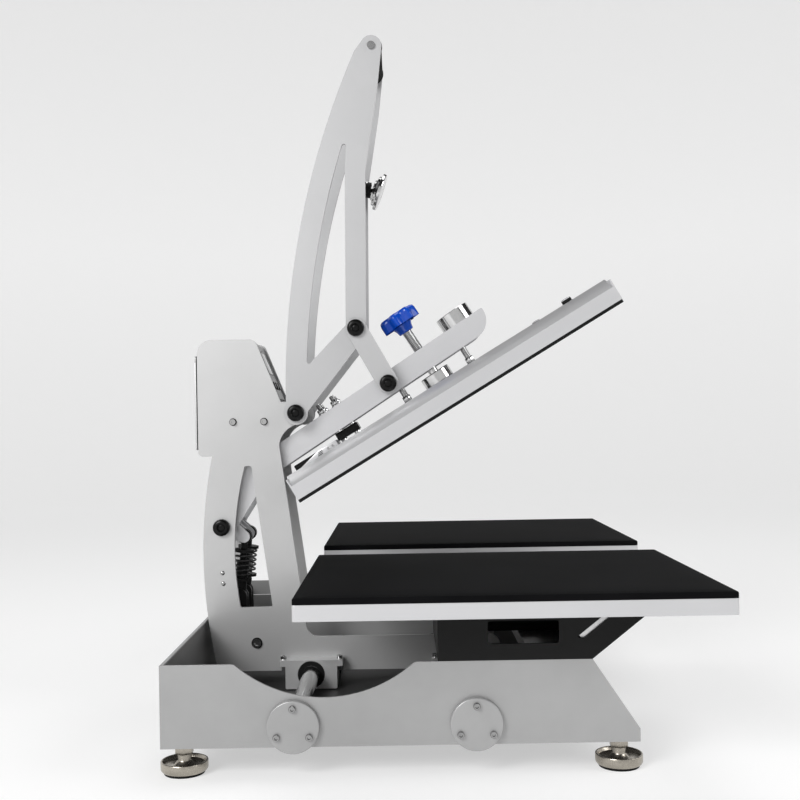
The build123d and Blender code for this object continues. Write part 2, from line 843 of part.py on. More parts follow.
button_places = [(side * button_pitch, -button_drop) for side in (-1, 0, 1)]
with BuildPart() as facia_panel:
    with BuildSketch(facia_plane):
        Rectangle(2 * (box_half - facia_margin), 2 * facia_half_height)
        with Locations(*button_places):
            Circle(button_radius + face_gap, mode=Mode.SUBTRACT)
    extrude(amount=-box_sheet)
    with BuildSketch(facia_plane):
        with Locations((0, display_rise)):
            Rectangle(display_width, display_height)
    extrude(amount=display_proud)
save(facia_panel.part, "facia_panel")

for place, name in zip(button_places, ("button_down", "button_mode", "button_up")):
    with BuildPart() as button:
        with BuildSketch(facia_plane.offset(button_proud - button_depth)):
            with Locations(place):
                Circle(button_radius)
        extrude(amount=button_depth)
        fillet(button.faces().sort_by(Axis((0, 0, 0), facia_plane.z_dir))[-1].edges(),
               button_rounding)
    save(button.part, name)

with BuildPart() as rear_cover:
    with BuildSketch(cover_plane):
        RectangleRounded(cover_width, cover_height, cover_corner)
        with Locations((0, -inlet_drop)):
            Rectangle(inlet_width + 2 * hole_gap, inlet_height + 2 * hole_gap, mode=Mode.SUBTRACT)
        with Locations((rocker_side, inlet_drop)):
            Rectangle(rocker_width + 2 * face_gap, 2 * (rocker_radius + face_gap), mode=Mode.SUBTRACT)
        with Locations(*cover_screw_places):
            Circle(cover_screw_radius + hole_gap, mode=Mode.SUBTRACT)
    extrude(amount=box_sheet)
    with BuildSketch(cover_plane.offset(box_sheet)):
        with Locations(*cover_screw_places):
            Circle(cover_screw_head + hole_gap)
    extrude(amount=-box_sheet / 2, mode=Mode.SUBTRACT)
save(rear_cover.part, "rear_cover")

with BuildPart() as rear_gasket_frame:
    with BuildSketch(cover_plane.offset(-rear_gasket)):
        RectangleRounded(cover_width, cover_height, cover_corner)
        RectangleRounded(cover_width - 2 * gasket_rim, cover_height - 2 * gasket_rim, cover_corner,
                         mode=Mode.SUBTRACT)
        with Locations(*cover_screw_places):
            Circle(cover_screw_radius + hole_gap, mode=Mode.SUBTRACT)
    extrude(amount=rear_gasket)
save(rear_gasket_frame.part, "rear_gasket")

rocker_z = cover_middle_z + inlet_drop
with BuildPart() as rocker_switch:
    with BuildSketch(across(-rocker_side + rocker_width / 2)):
        with Locations((rocker_pivot_x, rocker_z)):
            Circle(rocker_radius)
            tip = rocker_front + rocker_radius * tan(radians(rocker_tilt))
            with Locations(Rotation(0, 0, rocker_tilt)):
                Polygon((-rocker_front, 0), (-tip, rocker_radius), (rocker_back, rocker_radius),
                        (rocker_back, -rocker_radius), (-tip, -rocker_radius), align=None,
                        mode=Mode.INTERSECT)
    extrude(amount=rocker_width)
save(rocker_switch.part, "rocker_switch")

with BuildPart() as power_inlet:
    with BuildSketch(cover_plane.offset(-inlet_depth)):
        with Locations((0, -inlet_drop)):
            Rectangle(inlet_width, inlet_height)
    extrude(amount=inlet_depth + box_sheet)
    with BuildSketch(cover_plane.offset(box_sheet)):
        with Locations((0, -inlet_drop)):
            RectangleRounded(inlet_width - 2 * inlet_side_wall, inlet_height - 2 * inlet_end_wall,
                             inlet_corner)
    extrude(amount=-inlet_depth + box_sheet, mode=Mode.SUBTRACT)
    with BuildSketch(cover_plane.offset(2 * box_sheet - inlet_depth)):
        with Locations((0, inlet_pin_up - inlet_drop), (-inlet_pin_side, -inlet_drop - inlet_pin_down),
                       (inlet_pin_side, -inlet_drop - inlet_pin_down)):
            Rectangle(inlet_pin_width, inlet_pin_height)
    extrude(amount=inlet_depth - 3 * box_sheet)
save(power_inlet.part, "power_inlet")

# Main shafts and their caps
with BuildPart() as pivot_shafts:
    with BuildSketch(across(handle_inner_y + handle_plate + face_gap)):
        with Locations((handle_pivot_x, handle_pivot_z)):
            Circle(main_shaft_radius)
    extrude(amount=2 * (handle_inner_y + handle_plate + face_gap))
    with BuildSketch(across(-(cheek_inside + cheek_thickness))):
        with Locations((handle_pivot_x, handle_pivot_z)):
            Circle(shaft_collar_radius)
    washer = extrude(amount=handle_inner_y - cheek_inside - cheek_thickness - face_gap)
    mirror(washer, about=Plane.XZ)
    with BuildSketch(across(cheek_inside + cheek_thickness + face_gap)):
        with Locations((arm_pivot_x, arm_pivot_z)):
            Circle(main_shaft_radius)
    extrude(amount=2 * (cheek_inside + cheek_thickness + face_gap))
    with BuildSketch(across(-(arm_half_width + face_gap))):
        with Locations((arm_pivot_x, arm_pivot_z)):
            Circle(shaft_collar_radius)
    collar = extrude(amount=cheek_inside - arm_half_width - face_gap)
    mirror(collar, about=Plane.XZ)
save(pivot_shafts.part, "pivot_shafts")


def end_cap(x, z, inner_y):
    """A domed cap on a shaft end, at the left side."""
    with BuildPart() as cap:
        with BuildSketch(across(-inner_y)):
            with Locations((x, z)):
                Circle(cap_radius)
        extrude(amount=cap_length)
        fillet(cap.faces().sort_by(Axis.Y)[0].edges(), cap_rounding)
    return cap.part


save(both_sides(end_cap(handle_pivot_x, handle_pivot_z, handle_inner_y + handle_plate + face_gap)
                + end_cap(arm_pivot_x, arm_pivot_z, cheek_inside + cheek_thickness + face_gap)),
     "pivot_caps")

# Arm, drawn along its own axes: "along" runs towards the head, "above" is up when the press is closed
arm_cos = cos(radians(arm_open_angle))
arm_sin = sin(radians(arm_open_angle))


def arm_point(along, above):
    """X and Z of a point of the arm while the press is open."""
    return (
        arm_pivot_x + along * arm_cos - above * arm_sin,
        arm_pivot_z + along * arm_sin + above * arm_cos,
    )


def arm_side(y):
    """The arm's side plane at the given Y. It extrudes towards the left station."""
    return Plane(origin=(arm_pivot_x, y, arm_pivot_z), x_dir=(arm_cos, 0, arm_sin), z_dir=(0, -1, 0))


def arm_level(along, above):
    """The plane across the arm at that point, facing up from the arm."""
    x, z = arm_point(along, above)
    return Plane(origin=(x, 0, z), x_dir=(arm_cos, 0, arm_sin), z_dir=(-arm_sin, 0, arm_cos))


arm_middle = arm_bottom + arm_depth / 2
with BuildPart() as arm_frame:
    with BuildSketch(arm_side(-(arm_half_width - arm_side_plate))):
        with BuildLine():
            CenterArc((0, 0), arm_hub_radius, 0, 360)
            CenterArc((arm_tail_along, arm_middle), arm_depth / 2, 0, 360)
        make_hull()
    with BuildSketch(arm_side(-(arm_half_width - arm_side_plate))) as beam_plate:
        with BuildLine():
            Polyline((arm_tail_along, arm_bottom), (arm_front, arm_bottom), (arm_front, arm_top),
                     (arm_tail_along, arm_top), close=True)
        make_face()
        fillet(beam_plate.vertices().group_by(Axis.X)[-1].sort_by(Axis.Y)[0], arm_nose_radius)
        fillet(beam_plate.vertices().sort_by_distance((arm_front, arm_top))[0], arm_nose_top_radius)
    extrude(amount=arm_side_plate)
    mirror(about=Plane.XZ)
    with BuildSketch(arm_side(arm_half_width - arm_side_plate)):
        with Locations(((arm_tail_along + arm_front - arm_nose_top_radius) / 2, arm_top - arm_web / 2)):
            Rectangle(arm_front - arm_nose_top_radius - arm_tail_along, arm_web)
        with Locations((spindle_along, arm_top - arm_web - nut_block_height / 2)):
            Rectangle(nut_block_length, nut_block_height)
        for side in (-1, 1):
            with Locations((spindle_along + side * guide_post_spread, bridge_above + bridge_thickness / 2)):
                Rectangle(bridge_length, bridge_thickness)
        Circle(arm_hub_radius)
    extrude(amount=2 * (arm_half_width - arm_side_plate))
    for middle in (-strut_side, strut_side):
        for edge in (-strut_eye_width / 2 - ear_gap, strut_eye_width / 2 + ear_gap + ear_thickness):
            with BuildSketch(arm_side(middle + edge)):
                with BuildLine():
                    CenterArc((0, 0), arm_hub_radius - arm_lug_step, 0, 360)
                    CenterArc((strut_top_along, strut_top_above), lug_radius, 0, 360)
                make_hull()
            extrude(amount=ear_thickness)
        with BuildSketch(arm_side(middle + strut_eye_width / 2 + ear_gap)):
            with Locations((strut_top_along, strut_top_above)):
                Circle(strut_top_pin_radius)
        extrude(amount=strut_eye_width + 2 * ear_gap)
    arm_bolt_places = [(along, side * arm_bolt_side) for along in arm_bolt_along for side in (-1, 1)]
    with BuildSketch(arm_level(0, arm_top)):
        with Locations(*arm_bolt_places):
            RegularPolygon(arm_bolt_across / 2, 6, major_radius=False)
    extrude(amount=arm_bolt_height)
    with BuildSketch(arm_side(arm_half_width)):
        Circle(main_shaft_radius + running_gap)
        with Locations((link_pin_along, link_pin_above)):
            Circle(link_shaft_radius + running_gap)
    extrude(amount=2 * arm_half_width, mode=Mode.SUBTRACT)
    with BuildSketch(arm_level(spindle_along, arm_top)):
        Circle(screw_radius + running_gap)
    extrude(amount=-arm_depth, mode=Mode.SUBTRACT)
    with BuildSketch(arm_level(spindle_along, bridge_above + bridge_thickness)):
        with Locations((-guide_post_spread, 0), (guide_post_spread, 0)):
            Circle(guide_post_radius + guide_post_play)
    extrude(amount=-bridge_thickness, mode=Mode.SUBTRACT)
save(arm_frame.part, "arm_frame")

link_pin_x, link_pin_z = arm_point(link_pin_along, link_pin_above)
link_pin_end = link_inner_y + link_plate + face_gap
with BuildPart() as link_pin:
    with BuildSketch(across(-(arm_half_width - arm_side_plate))):
        with Locations((link_pin_x, link_pin_z)):
            Circle(link_shaft_radius)
    extrude(amount=link_pin_end - arm_half_width + arm_side_plate)
    with BuildSketch(across(-arm_half_width)):
        with Locations((link_pin_x, link_pin_z)):
            Circle(shaft_collar_radius)
    extrude(amount=link_inner_y - arm_half_width - face_gap)
save(both_sides(link_pin.part), "link_pins")
save(both_sides(end_cap(link_pin_x, link_pin_z, link_pin_end)), "arm_caps")

# Holding magnet on the front of the arm
with BuildPart() as holding_magnet:
    with BuildSketch(arm_level(magnet_along, arm_top)):
        Circle(magnet_radius)
    extrude(amount=magnet_height)
    chamfer(holding_magnet.edges().filter_by(GeomType.CIRCLE), magnet_edge)
    with BuildSketch(arm_level(magnet_along, arm_top + magnet_height)):
        Circle(magnet_coil_radius)
        Circle(magnet_core_radius, mode=Mode.SUBTRACT)
    extrude(amount=-magnet_groove_depth, mode=Mode.SUBTRACT)
save(holding_magnet.part, "holding_magnet")

# Pressure screw with its knob, and the boss under it that lifts and lowers the head
with BuildPart() as pressure_knob:
    with BuildSketch(arm_level(spindle_along, screw_top + knob_hub_length)):
        Circle(knob_radius - knob_lobe_radius)
        with PolarLocations(knob_radius - knob_lobe_radius, knob_lobes):
            Circle(knob_lobe_radius)
    extrude(amount=knob_thickness)
    fillet(pressure_knob.faces().sort_by(Axis((0, 0, 0), (-arm_sin, 0, arm_cos)))[-1].edges(),
           knob_edge)
    with BuildSketch(arm_level(spindle_along, screw_top)):
        Circle(knob_hub_radius)
    extrude(amount=knob_hub_length, taper=-knob_hub_taper)
save(pressure_knob.part, "pressure_knob")

screw_bottom = boss_top - 10
with BuildPart() as pressure_screw:
    with BuildSketch(arm_level(spindle_along, screw_bottom)):
        Circle(screw_radius)
    extrude(amount=screw_top - screw_bottom)
    chamfer(pressure_screw.edges().filter_by(GeomType.CIRCLE), screw_end)
save(pressure_screw.part, "pressure_screw")

with BuildPart() as pressure_boss:
    with BuildSketch(arm_level(spindle_along, boss_bottom)):
        Circle(boss_radius)
    extrude(amount=boss_top - boss_bottom)
    chamfer(pressure_boss.edges().filter_by(GeomType.CIRCLE), boss_edge)
    with BuildSketch(arm_level(spindle_along, boss_top)):
        Circle(screw_radius + running_gap)
    extrude(amount=-(boss_top - screw_bottom + face_gap), mode=Mode.SUBTRACT)
    swivel_x, swivel_z = arm_point(spindle_along, swivel_above)
    with Locations((swivel_x, 0, swivel_z)):
        Sphere(ball_radius)
    with BuildSketch(arm_level(spindle_along, boss_top)):
        Circle(screw_radius + running_gap)
    extrude(amount=-(boss_top - screw_bottom + face_gap), mode=Mode.SUBTRACT)
save(pressure_boss.part, "pressure_boss")

# Heated head, drawn along its own axes from the swivel: it hangs a little nose down while open
head_angle = arm_open_angle - head_tilt
head_cos = cos(radians(head_angle))
head_sin = sin(radians(head_angle))
head_bottom = pad_top + closed_gap - arm_pivot_z - swivel_above
head_top = head_bottom + head_height


def head_point(along, above):
    """X and Z of a point of the head while the press is open."""
    return (swivel_x + along * head_cos - above * head_sin, swivel_z + along * head_sin + above * head_cos)


def head_level(along, above):
    """The plane parallel to the head's face at that point, facing up."""
    x, z = head_point(along, above)
    return Plane(origin=(x, 0, z), x_dir=(head_cos, 0, head_sin), z_dir=(-head_sin, 0, head_cos))


def head_section(along):
    """The plane across the head at that length, facing its front end."""
    x, z = head_point(along, 0)
    return Plane(origin=(x, 0, z), x_dir=(0, 1, 0), z_dir=(head_cos, 0, head_sin))


half_length = head_length / 2
half_width = head_width / 2
with BuildPart() as heating_plate:
    with BuildSketch(head_level(0, head_bottom)):
        RectangleRounded(head_length, head_width, hot_plate_corner)
    extrude(amount=hot_plate_rim)
    with BuildSketch(head_level(0, head_bottom + hot_plate_rim)):
        RectangleRounded(head_length - 2 * hot_plate_inset, head_width - 2 * hot_plate_inset,
                         hot_plate_corner)
    extrude(amount=hot_plate_core)
save(heating_plate.part, "heating_plate")

cover_bottom = head_bottom + hot_plate_rim
with BuildPart() as head_cover:
    with BuildSketch(head_section(-half_length)):
        with BuildLine():
            Polyline((-half_width, cover_bottom), (-half_width, cover_bottom + cover_side),
                     (-half_width + cover_bevel, head_top), (half_width - cover_bevel, head_top),
                     (half_width, cover_bottom + cover_side), (half_width, cover_bottom), close=True)
        make_face()
    extrude(amount=head_length)
    offset(amount=-cover_sheet,
           openings=head_cover.faces().sort_by(Axis((0, 0, 0), (-head_sin, 0, head_cos)))[0])
    for end in (-half_length, half_length - cover_sheet):
        with BuildSketch(head_section(end)):
            with Locations((0, head_bottom + hot_plate_rim + (cover_end_height - hot_plate_rim) / 2)):
                Rectangle(head_width, cover_end_height - hot_plate_rim)
        extrude(amount=cover_sheet)
    with BuildSketch(head_level(0, head_top)):
        Circle(seat_radius)
    extrude(amount=-(head_height - hot_plate_rim - hot_plate_core - insulation_thickness))
    with Locations((swivel_x, 0, swivel_z)):
        Sphere(ball_radius + face_gap, mode=Mode.SUBTRACT)
    with BuildSketch(head_level(half_length - plug_from_front, head_top)):
        with Locations((0, -plug_side), (0, plug_side)):
            Circle(plug_radius)
    extrude(amount=plug_height)
save(head_cover.part, "head_cover")

with BuildPart() as heat_insulation:
    with BuildSketch(head_level(0, cover_bottom + hot_plate_core)):
        Rectangle(head_length - 4 * hot_plate_inset, head_width - 2 * cover_bevel)
    extrude(amount=insulation_thickness)
save(heat_insulation.part, "heat_insulation")

guide_places = [(-guide_post_spread, 0), (guide_post_spread, 0)]
guide_nut_base = guide_top_nut_above + guide_top_nut_height
with BuildPart() as guide_posts:
    with BuildSketch(head_level(0, head_top)):
        with Locations(*guide_places):
            RegularPolygon(guide_nut_across / 2, 6, major_radius=False)
    extrude(amount=guide_nut_height)
    with BuildSketch(head_level(0, head_top)):
        with Locations(*guide_places):
            Circle(guide_post_radius)
    extrude(amount=guide_nut_base - head_top)
    with BuildSketch(head_level(0, guide_top_nut_above)):
        with Locations(*guide_places):
            RegularPolygon(guide_nut_across / 2 + 1.5, 6, major_radius=False)
    extrude(amount=guide_top_nut_height)
save(guide_posts.part, "guide_posts")

terminal_bottom = head_top + terminal_stand
terminal_along = terminal_from_rear - half_length
terminal_places = [(x * (terminal_length / 2 - terminal_pillar_edge),
                    y * (terminal_width / 2 - terminal_pillar_edge)) for x in (-1, 1) for y in (-1, 1)]
with BuildPart() as heater_terminal:
    with BuildSketch(head_level(terminal_along, terminal_bottom)):
        RectangleRounded(terminal_length, terminal_width, terminal_corner)
    extrude(amount=terminal_height)
    with BuildSketch(head_level(terminal_along, head_top)):
        with Locations(*terminal_places):
            RegularPolygon(terminal_pillar_radius, 6)
    extrude(amount=terminal_stand)
save(heater_terminal.part, "heater_terminal")

# Handle: two plates, each with a bowed rear arm, a straight front arm and a brace, tied by three bars
crank_x = handle_pivot_x + crank_length * cos(radians(crank_angle))
crank_z = handle_pivot_z + crank_length * sin(radians(crank_angle))


def bow(z, inset):
    """The point of the bowed rear edge at that height, moved inwards by the inset."""
    return (bow_middle_x - sqrt((bow_radius - inset) ** 2 - (z - bow_middle_z) ** 2), z)


def brace_point(along, offset):
    """A point of the brace: along it from the handle pivot, and square to it towards the window."""
    angle = radians(crank_angle)
    return (
        handle_pivot_x + along * cos(angle) - offset * sin(angle),
        handle_pivot_z + along * sin(angle) + offset * cos(angle),
    )


bow_top_z = handle_top_z - bow_below_top
handle_top_x = bow(bow_top_z, 0)[0] + handle_top_ahead
handle_knee_z = handle_top_z - knee_below_top
handle_neck_x = handle_top_x + neck_ahead_of_top
handle_neck_z = handle_top_z - neck_below_top
front_foot_x = crank_x + link_radius
handle_knee_x = front_foot_x + knee_ahead_of_foot
window_foot_z = crank_z + window_foot_rise
window_rear_z = handle_pivot_z + window_rear_rise
window_top_z = handle_top_z - window_below_top
window_limit_x = bow_middle_x - bow_radius - bow_width
tangent_x = handle_top_x + handle_top_radius * cos(radians(handle_top_tangent))
tangent_z = handle_top_z + handle_top_radius * sin(radians(handle_top_tangent))
with BuildPart() as handle_plate_left:
    with BuildSketch(across(-handle_inner_y)):
        with BuildLine():
            ThreePointArc(bow(handle_pivot_z, 0), bow(handle_knee_z, 0), bow(bow_top_z, 0))
            Polyline(bow(bow_top_z, 0), (tangent_x, tangent_z), (handle_top_x, handle_top_z),
                     (handle_top_x + handle_top_radius, handle_top_z),
                     (handle_neck_x, handle_neck_z), (handle_knee_x, handle_knee_z),
                     (front_foot_x, crank_z), brace_point(crank_length, -brace_below),
                     brace_point(0, -brace_below_foot), (handle_pivot_x, handle_pivot_z),
                     bow(handle_pivot_z, 0))
        make_face()
        with Locations((handle_top_x, handle_top_z)):
            Circle(handle_top_radius)
        with Locations((handle_pivot_x, handle_pivot_z)):
            Circle(handle_lobe_radius)
    extrude(amount=handle_plate)
    with BuildSketch(across(-handle_inner_y)) as handle_window:
        with Locations((bow_middle_x, bow_middle_z)):
            Circle(bow_radius - bow_width)
        Polygon(bow(window_top_z, bow_width), (handle_knee_x - handle_front_width, handle_knee_z),
                (front_foot_x - handle_front_width, window_foot_z), bow(window_rear_z, bow_width),
                (window_limit_x, window_rear_z), (window_limit_x, window_top_z),
                align=None, mode=Mode.INTERSECT)
        fillet(handle_window.vertices(), handle_window_corner)
    extrude(amount=handle_plate, mode=Mode.SUBTRACT)
    with BuildSketch(across(-handle_inner_y)):
        with Locations((handle_pivot_x, handle_pivot_z)):
            Circle(main_shaft_radius + running_gap)
        with Locations((crank_x, crank_z)):
            Circle(spreader_spigot + running_gap)
        with Locations((handle_top_x, handle_top_z)):
            Circle(top_rod_spigot + running_gap)
    extrude(amount=handle_plate, mode=Mode.SUBTRACT)
save(handle_plate_left.part, "handle_plate_left")
save(other_side(handle_plate_left.part), "handle_plate_right")

with BuildPart() as handle_bars:
    with BuildSketch(across(handle_inner_y)):
        with Locations((crank_x, crank_z)):
            Circle(spreader_radius)
        with Locations((handle_top_x, handle_top_z)):
            Circle(top_rod_radius)
    extrude(amount=2 * handle_inner_y)
    with BuildSketch(across(handle_inner_y + handle_plate)):
        with Locations((crank_x, crank_z)):
            Circle(spreader_spigot)
        with Locations((handle_top_x, handle_top_z)):
            Circle(top_rod_spigot)
    extrude(amount=2 * (handle_inner_y + handle_plate))
    with BuildSketch(across(-(handle_inner_y + handle_plate))):
        with Locations((handle_top_x, handle_top_z)):
            Circle(rod_screw_radius)
    rod_head = extrude(amount=rod_screw_height)
    mirror(rod_head, about=Plane.XZ)
save(handle_bars.part, "handle_bars")

# Rubber grip around the top rod, a little waisted between its collars
grip_middle = handle_inner_y - grip_collar
with BuildPart() as handle_grip:
    with BuildSketch(Plane(origin=(handle_top_x, 0, handle_top_z), x_dir=(0, 1, 0), z_dir=(1, 0, 0))):
        with BuildLine():
            Polyline((-grip_middle, grip_radius), (-handle_inner_y, grip_radius),
                     (-handle_inner_y, top_rod_radius + running_gap),
                     (handle_inner_y, top_rod_radius + running_gap), (handle_inner_y, grip_radius),
                     (grip_middle, grip_radius))
            ThreePointArc((grip_middle, grip_radius), (0, grip_radius - grip_waist),
                          (-grip_middle, grip_radius))
        make_face()
    revolve(axis=Axis((handle_top_x, 0, handle_top_z), (0, 1, 0)))
save(handle_grip.part, "handle_grip")

# Links between the handle's brace and the arm
with BuildPart() as link_plate_pair:
    with BuildSketch(across(-link_inner_y)):
        with BuildLine():
            CenterArc((crank_x, crank_z), link_radius, 0, 360)
            CenterArc((link_pin_x, link_pin_z), link_radius, 0, 360)
        make_hull()
        with Locations((link_pin_x, link_pin_z)):
            Circle(link_shaft_radius + running_gap, mode=Mode.SUBTRACT)
    extrude(amount=link_plate)
    with BuildSketch(across(-(handle_inner_y + handle_plate + face_gap))):
        with Locations((crank_x, crank_z)):
            Circle(armature_hub_radius)
    extrude(amount=link_inner_y - handle_inner_y - handle_plate - face_gap)
save(both_sides(link_plate_pair.part), "link_plates")
save(both_sides(end_cap(crank_x, crank_z, link_inner_y + link_plate)), "link_caps")

# Armature on the handle: it swivels on a ball so that its face settles flat on the magnet
turn_back = radians(handle_open_angle)
face_along = arm_pivot_x + magnet_along - handle_pivot_x
face_above = arm_pivot_z + arm_top + magnet_height + armature_gap - handle_pivot_z
face_x = handle_pivot_x + face_along * cos(turn_back) - face_above * sin(turn_back)
face_z = handle_pivot_z + face_along * sin(turn_back) + face_above * cos(turn_back)
axis_x = sin(turn_back)
axis_z = -cos(turn_back)


def armature_plane(back):
    """The plane square to the armature's mount, that far behind its face, looking forward."""
    return Plane(origin=(face_x - back * axis_x, 0, face_z - back * axis_z), x_dir=(0, 1, 0),
                 z_dir=(axis_x, 0, axis_z))


bar_front = armature_ball_back + armature_stem
with BuildPart() as armature_mount:
    with BuildSketch(armature_plane(bar_front)):
        Rectangle(2 * handle_inner_y, armature_bar_width)
    extrude(amount=-armature_bar_thickness)
    with BuildSketch(armature_plane(bar_front)):
        Circle(armature_block_radius)
    extrude(amount=armature_block)
    with BuildSketch(armature_plane(bar_front)):
        Circle(armature_stem_radius)
    extrude(amount=armature_stem)
    ball_plane = armature_plane(armature_ball_back)
    with Locations(ball_plane.origin):
        Sphere(armature_ball_radius)
save(armature_mount.part, "armature_mount")

droop_turn = radians(handle_open_angle - 90 - armature_droop)
disc_axis = (cos(droop_turn), 0, sin(droop_turn))
disc_plane = Plane(origin=ball_plane.origin, x_dir=(0, 1, 0), z_dir=disc_axis)
with BuildPart() as armature_disc:
    with BuildSketch(disc_plane.offset(armature_ball_back)):
        Circle(armature_radius)
    extrude(amount=-armature_thickness)
    chamfer(armature_disc.edges().filter_by(GeomType.CIRCLE), armature_edge)
    with BuildSketch(disc_plane.offset(armature_ball_back - armature_thickness)):
        Circle(armature_hub_radius)
    extrude(amount=-armature_hub)
    with Locations(ball_plane.origin):
        Sphere(armature_ball_radius + face_gap, mode=Mode.SUBTRACT)
save(armature_disc.part, "armature_disc")

# Lift struts between the carriage floor and the arm
strut_top_x, strut_top_z = arm_point(strut_top_along, strut_top_above)
strut_length = hypot(strut_top_x - strut_foot_x, strut_top_z - strut_foot_z)
strut_up = ((strut_top_x - strut_foot_x) / strut_length, 0, (strut_top_z - strut_foot_z) / strut_length)


def strut_plane(rise):
    """The plane across a strut at that distance from its foot pin, looking up."""
    return Plane(origin=(strut_foot_x + rise * strut_up[0], 0, strut_foot_z + rise * strut_up[2]),
                 x_dir=(0, 1, 0), z_dir=strut_up)


strut_places = [(-strut_side, 0), (strut_side, 0)]
floor_top = block_top + floor_plate
with BuildPart() as strut_brackets:
    for middle in (-strut_side, strut_side):
        for edge in (-strut_eye_width / 2 - ear_gap, strut_eye_width / 2 + ear_gap + ear_thickness):
            with BuildSketch(across(middle + edge)):
                with Locations((strut_foot_x, strut_foot_z)):
                    Circle(ear_radius)
                with Locations((strut_foot_x, (floor_top + strut_foot_z) / 2)):
                    Rectangle(2 * ear_radius, strut_foot_z - floor_top)
            extrude(amount=ear_thickness)
    pin_reach = strut_eye_width / 2 + ear_gap + ear_thickness
    for middle in (-strut_side, strut_side):
        with BuildSketch(across(middle + pin_reach)):
            with Locations((strut_foot_x, strut_foot_z)):
                Circle(strut_pin_radius)
        extrude(amount=2 * pin_reach)
save(strut_brackets.part, "strut_brackets")

with BuildPart() as strut_tubes:
    with BuildSketch(strut_plane(0)):
        with Locations(*strut_places):
            Circle(strut_tube_radius)
    extrude(amount=strut_tube_top)
    with BuildSketch(strut_plane(strut_flange_top)):
        with Locations(*strut_places):
            Circle(strut_flange_radius)
    extrude(amount=-strut_flange)
    for middle in (-strut_side, strut_side):
        with BuildSketch(across(middle + strut_eye_width / 2)):
            with Locations((strut_foot_x, strut_foot_z)):
                Circle(strut_eye_radius)
        extrude(amount=strut_eye_width)
        for edge in (-strut_eye_width / 2, strut_eye_width / 2 + strut_eye_radius):
            with BuildSketch(across(middle + edge)):
                with Locations((strut_foot_x, strut_foot_z)):
                    Circle(ear_radius + face_gap)
            extrude(amount=strut_eye_radius, mode=Mode.SUBTRACT)
        with BuildSketch(across(middle + strut_eye_width / 2)):
            with Locations((strut_foot_x, strut_foot_z)):
                Circle(strut_pin_radius + running_gap)
        extrude(amount=strut_eye_width, mode=Mode.SUBTRACT)
    with BuildSketch(strut_plane(strut_bore_bottom)):
        with Locations(*strut_places):
            Circle(strut_rod_radius + running_gap)
    extrude(amount=strut_tube_top - strut_bore_bottom, mode=Mode.SUBTRACT)
save(strut_tubes.part, "strut_tubes")

collar_bottom = strut_length - strut_collar_below_top - strut_flange
with BuildPart() as strut_rods:
    with BuildSketch(strut_plane(strut_rod_bottom)):
        with Locations(*strut_places):
            Circle(strut_rod_radius)
    extrude(amount=strut_length - strut_rod_bottom)
    with BuildSketch(strut_plane(collar_bottom)):
        with Locations(*strut_places):
            Circle(strut_flange_radius)
    extrude(amount=strut_flange)
    for middle in (-strut_side, strut_side):
        with BuildSketch(across(middle + strut_eye_width / 2)):
            with Locations((strut_top_x, strut_top_z)):
                Circle(strut_eye_radius)
        extrude(amount=strut_eye_width)
        with BuildSketch(across(middle + strut_eye_width / 2)):
            with Locations((strut_top_x, strut_top_z)):
                Circle(strut_top_pin_radius + strut_top_play)
        extrude(amount=strut_eye_width, mode=Mode.SUBTRACT)
save(strut_rods.part, "strut_rods")

spring_height = collar_bottom - strut_flange_top - spring_wire - 2 * face_gap
with BuildPart() as one_spring:
    with BuildLine() as coil:
        Helix(spring_height / spring_turns, spring_height, spring_radius)
    with BuildSketch(Plane(origin=coil.line @ 0, z_dir=coil.line % 0)):
        Circle(spring_wire / 2)
    sweep()
spring_foot = strut_plane(strut_flange_top + spring_wire / 2 + face_gap)
with BuildPart() as strut_springs:
    for side in (-1, 1):
        with Locations(spring_foot * Location((side * strut_side, 0, 0))):
            add(one_spring.part)
save(strut_springs.part, "strut_springs")
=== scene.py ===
"""The visible pieces, finishes, lights and camera of the dual station heat press, around its frame."""

import json
from math import cos, pi, radians, sin

import bmesh
import bpy
from bpy.props import FloatProperty, FloatVectorProperty, IntProperty, PointerProperty
from mathutils import Matrix, Vector


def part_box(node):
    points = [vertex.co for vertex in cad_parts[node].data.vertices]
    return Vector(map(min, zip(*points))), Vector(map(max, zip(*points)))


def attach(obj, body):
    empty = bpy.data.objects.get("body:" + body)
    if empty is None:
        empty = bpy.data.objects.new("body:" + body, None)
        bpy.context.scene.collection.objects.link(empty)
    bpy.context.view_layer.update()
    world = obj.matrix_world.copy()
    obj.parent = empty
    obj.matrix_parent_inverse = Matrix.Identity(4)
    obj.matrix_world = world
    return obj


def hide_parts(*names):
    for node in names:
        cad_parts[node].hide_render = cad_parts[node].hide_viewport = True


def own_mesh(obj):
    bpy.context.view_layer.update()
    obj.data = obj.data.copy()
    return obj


bl_info = {
    "name": "Dual station heat press",
    "version": (1, 0, 0),
    "blender": (4, 5, 0),
    "location": "View3D > Sidebar > Heat press",
    "description": "Builds the visible pieces of a heat press around its packed frame",
    "category": "Object",
}

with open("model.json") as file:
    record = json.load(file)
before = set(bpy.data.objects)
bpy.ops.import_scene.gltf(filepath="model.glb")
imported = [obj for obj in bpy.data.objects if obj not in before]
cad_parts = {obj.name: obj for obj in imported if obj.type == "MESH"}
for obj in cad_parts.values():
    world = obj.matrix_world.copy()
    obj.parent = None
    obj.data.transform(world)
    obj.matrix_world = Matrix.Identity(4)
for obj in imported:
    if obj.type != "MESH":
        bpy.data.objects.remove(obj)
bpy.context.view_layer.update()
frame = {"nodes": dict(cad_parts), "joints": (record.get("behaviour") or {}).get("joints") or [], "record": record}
RECORD = frame["record"]
NODES = frame["nodes"]
BODY_OF = {node: body for body, nodes in RECORD["behaviour"]["bodies"].items() for node in nodes}
JOINTS = {joint["name"]: joint for joint in frame["joints"]}
MM = 0.001

